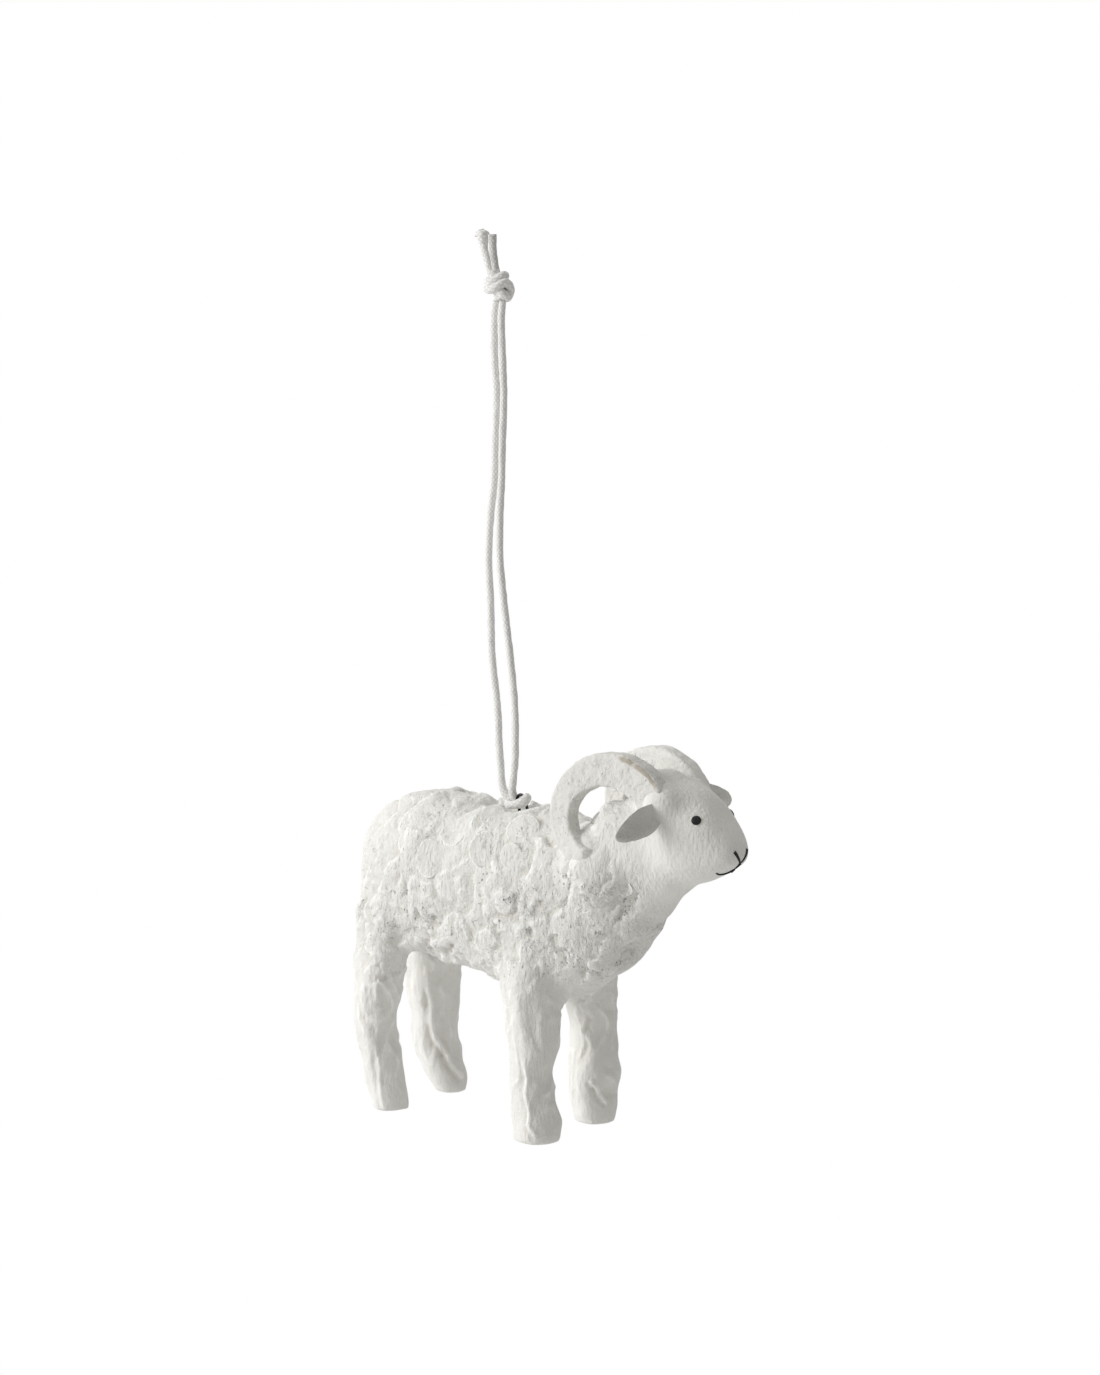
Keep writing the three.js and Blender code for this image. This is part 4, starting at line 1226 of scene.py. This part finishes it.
# Hitch: the strands' feet go down behind a bar of cord that comes round in front of the wire and over it
HITCH_FEET = [
    [(-0.05, 0, -114.4), (0, 0, -115.2), (0.45, 0, -117), (1.5, 0.3, -118.9), (3.0, 0.7, -119.9)],
    [(3.65, 0, -114.4), (3.6, 0, -115.2), (3.4, 0, -117), (3.6, 0.3, -118.8), (4.3, 0.8, -119.8)],
]
HITCH_LOOP = [
    (4.9, 1.2, -119.5), (3.7, 0.9, -119.5), (2.9, 0.1, -119.9), (3.0, -1.0, -120.2), (4.0, -1.9, -120.4),
    (5.4, -2.2, -120.3), (6.8, -2.0, -120.0), (7.8, -1.4, -119.6), (8.1, -0.5, -119.1), (7.6, 0.3, -118.8),
    (6.8, 0.9, -119.0), (6.0, 1.3, -119.4), (5.2, 1.4, -119.6),
]
FOOT_SWELL = ((0, 1), (0.35, 1.08), (1, 1.15))
HITCH_SWELL = ((0, 1), (0.45, 1), (0.65, 1.2), (0.8, 1.2), (1, 1))
HITCH_RADIUS = 1.02


def hitch():
    feet = [cotton_tube(f"foot_{n}", route, swell=FOOT_SWELL) for n, route in enumerate(HITCH_FEET)]
    neck = finished(joined(feet), "hitch_neck", CORD_COTTON)
    loop = cotton_tube("hitch_loop", HITCH_LOOP, HITCH_RADIUS, HITCH_SWELL)
    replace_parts(loop, "cord_hitch")
    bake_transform(neck)
    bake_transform(loop)


hitch()


# Knot: an overhand knot whose turns slant up to the right, as pixels and how much nearer than its middle
KNOT_MIDDLE = (-0.5, 0, 5.5)
KNOT_TURNS = [
    [(503, 284, -1.8), (494, 287, -1.8), (487.8, 287.5, -0.2), (490.5, 289.5, 1.4), (497, 286.5, 2.3),
     (504, 283, 2.1), (508.8, 285.5, 1.2), (510, 291, 0.3), (508, 295.5, -0.9), (503, 295, -1.6)],
    [(495, 290, -0.2), (499, 291.5, 1.4), (504, 294.5, 1.7), (507.5, 297, 0.6), (505.5, 297.5, -0.8)],
    [(501, 277, -1.5), (492, 281, -1.4), (488.3, 282, 0), (491, 282.5, 1.3), (497.5, 279, 1.7),
     (503, 275.8, 1.1), (504.5, 275.8, -0.3), (501, 279, -1.4)],
]
KNOT_CORE = [(499.5, 301, 0), (500, 293, 0), (497, 283, 0), (492.5, 271, 0)]
KNOT_RADIUS = 1.12
KNOT_CORE_RADIUS = 1.55


def knot():
    turns = [[sighted(*spot, KNOT_MIDDLE) for spot in route] for route in KNOT_TURNS]
    core = [sighted(*spot, KNOT_MIDDLE) for spot in KNOT_CORE]
    bands = [cotton_tube(f"turn_{n}", route, KNOT_RADIUS) for n, route in enumerate(turns)]
    bands.append(cotton_tube("core", core, KNOT_CORE_RADIUS))
    made = finished(joined(bands), "overhand_knot", CORD_COTTON)
    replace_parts(made, "cord_knot")
    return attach(made, "hanger")


overhand = knot()

# Tails: one frays into a tuft at its tip, the other is cut flat and darker, its cotton a darker copy as
# painted shade
REAR_TAIL = [(-2.6, -0.2, 7.4), (-3.4, -0.2, 9.5), (-4.7, 0, 12.7), (-5.5, 0, 15.9), (-5.8, 0, 18.9)]
FRONT_TAIL = [(-1.0, 0.2, 7.4), (-1.8, 0.2, 9.5), (-2.6, 0.3, 13.2), (-2.95, 0.3, 17.6)]
TUFT = ((0, 1), (0.6, 1.0), (0.74, 1.25), (0.86, 1.85), (0.94, 1.75), (0.985, 1.1), (1, 0.5))
TUFT_UNEVEN = 0.2
CUT_END = ((0, 1), (0.8, 1.1), (1, 1.25))
FIBRES = 140
FIBRE_RADIUS = 0.07
FIBRE_SWELL = ((0, 1), (1, 0.4))


def tails():
    rear = cotton_tube("tail_cord", REAR_TAIL, swell=TUFT, uneven=TUFT_UNEVEN)
    front = tube("tail_front", FRONT_TAIL, CORD_RADIUS, SHADED_TAIL_COTTON, swell=CUT_END,
                 uneven=CORD_UNEVEN)
    tip = np.array(REAR_TAIL[-1])
    fibres = []
    for n in range(FIBRES):
        angle = random.uniform(0, 2 * math.pi)
        lift = random.uniform(-0.2, 1.4)
        way = np.array((math.cos(angle) * math.cos(lift), math.sin(angle) * math.cos(lift), math.sin(lift)))
        root = tip - np.array((0, 0, 1.5)) + way * 1.1
        end = root + way * random.uniform(0.45, 0.75) + np.array((-0.12, 0, 0.05))
        route = [root, root + way * 0.3, end]
        fibre = tube(f"fibre_{n}", route, FIBRE_RADIUS, CORD_COTTON, 4, 0.4, FIBRE_SWELL)
        fibres.append(fibre)
    rear = finished(joined([rear, *fibres]), "tail_rear", CORD_COTTON)
    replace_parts(rear, "cord_tail_rear")
    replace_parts(front, "cord_tail_front")
    return [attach(piece, "hanger") for piece in (rear, front)]


tail_pieces = tails()
CORD_STEP = 12
for piece, points in strands:
    path = [tuple(p * MM) for p in (*points[:-1:CORD_STEP], points[-1])]
    tuple(points[0] * MM)

# What is inside keeps its solids
INSIDE = {"paper_core": NEWSPAPER, "head_core": NEWSPAPER,
          "spine_wire": ARMATURE, "front_leg_wire": ARMATURE, "rear_leg_wire": ARMATURE}
for node, material in INSIDE.items():
    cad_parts[node].data.materials.clear()
    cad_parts[node].data.materials.append(material)


# Floor, world and light, in metres; each lamp has the way to it, its size and its power
FLOOR_Z = -0.42
FLOOR_SIZE = 40
FILL_COLOUR = (1, 0.982, 0.94, 1)
FILL_STRENGTH = 0.365
LIT_MIDDLE = Vector((0, 0, -0.14))
LAMP_DISTANCE = 1.1
LAMPS = {
    "key": ((-0.57, -0.72, 0.39), 0.6, 8.95),
    "top": ((-0.1, 0.1, 0.98), 0.6, 1.9),
    "behind": ((-0.5, 0.8, 0.33), 0.8, 2.4),
}


# 1 for what is seen straight, in a mirror or through glass, and 0 for what only lights the scene
def straight_rays(tree):
    rays = tree.nodes.new("ShaderNodeLightPath")
    straight = rays.outputs["Is Camera Ray"]
    for ray in ("Is Glossy Ray", "Is Transmission Ray"):
        either = tree.nodes.new("ShaderNodeMath")
        either.operation = "MAXIMUM"
        tree.links.new(straight, either.inputs[0])
        tree.links.new(rays.outputs[ray], either.inputs[1])
        straight = either.outputs[0]
    return straight


def mixed_shaders(tree, share, first, second, output):
    mix = tree.nodes.new("ShaderNodeMixShader")
    for n, socket in enumerate((share, first.outputs[0], second.outputs[0])):
        tree.links.new(socket, mix.inputs[n])
    tree.links.new(mix.outputs[0], tree.nodes[output].inputs["Surface"])


# Pale under the ornament, where its shadow falls, and white further out
def pale_floor():
    bpy.ops.object.select_all(action="DESELECT")
    bpy.ops.mesh.primitive_plane_add(size=FLOOR_SIZE, location=(0, 0, 0))
    floor = bpy.context.object
    floor.location = (0, 0, FLOOR_Z)
    f = Finish("pale floor", Roughness=1.0, Base_Color=(0.9, 0.9, 0.9, 1))
    glow = f.tree.nodes.new("ShaderNodeEmission")
    far = f.node("VectorMath", {"operation": "LENGTH"}, {0: f.node("TexCoord", output=3)}, 1)
    share = Value(f, straight_rays(f.tree)) * (far.between(0.15, 0.38) * 0.55 + 0.45)
    mixed_shaders(f.tree, share.socket, f.shader, glow, "Material Output")
    floor.data.materials.append(f.material)
    floor.name = "floor"


def studio():
    world = bpy.data.worlds.new("studio")
    bpy.context.scene.world = world
    world.use_nodes = True
    tree = world.node_tree
    seen = tree.nodes.new("ShaderNodeBackground")
    seen.inputs["Strength"].default_value = 1.0
    seen.inputs["Color"].default_value = (1, 1, 1, 1)
    fill = tree.nodes["Background"]
    fill.inputs["Color"].default_value = FILL_COLOUR
    fill.inputs["Strength"].default_value = FILL_STRENGTH
    mixed_shaders(tree, straight_rays(tree), fill, seen, "World Output")
    for name, (towards, size, power) in LAMPS.items():
        data = bpy.data.lights.new(name, "AREA")
        data.size = size
        data.energy = power
        lamp = bpy.data.objects.new(name, data)
        bpy.context.collection.objects.link(lamp)
        way = Vector(towards).normalized()
        lamp.location = LIT_MIDDLE + way * LAMP_DISTANCE
        lamp.rotation_euler = way.to_track_quat("Z", "Y").to_euler()
    bpy.context.scene.view_settings.view_transform = "Standard"


pale_floor()
studio()
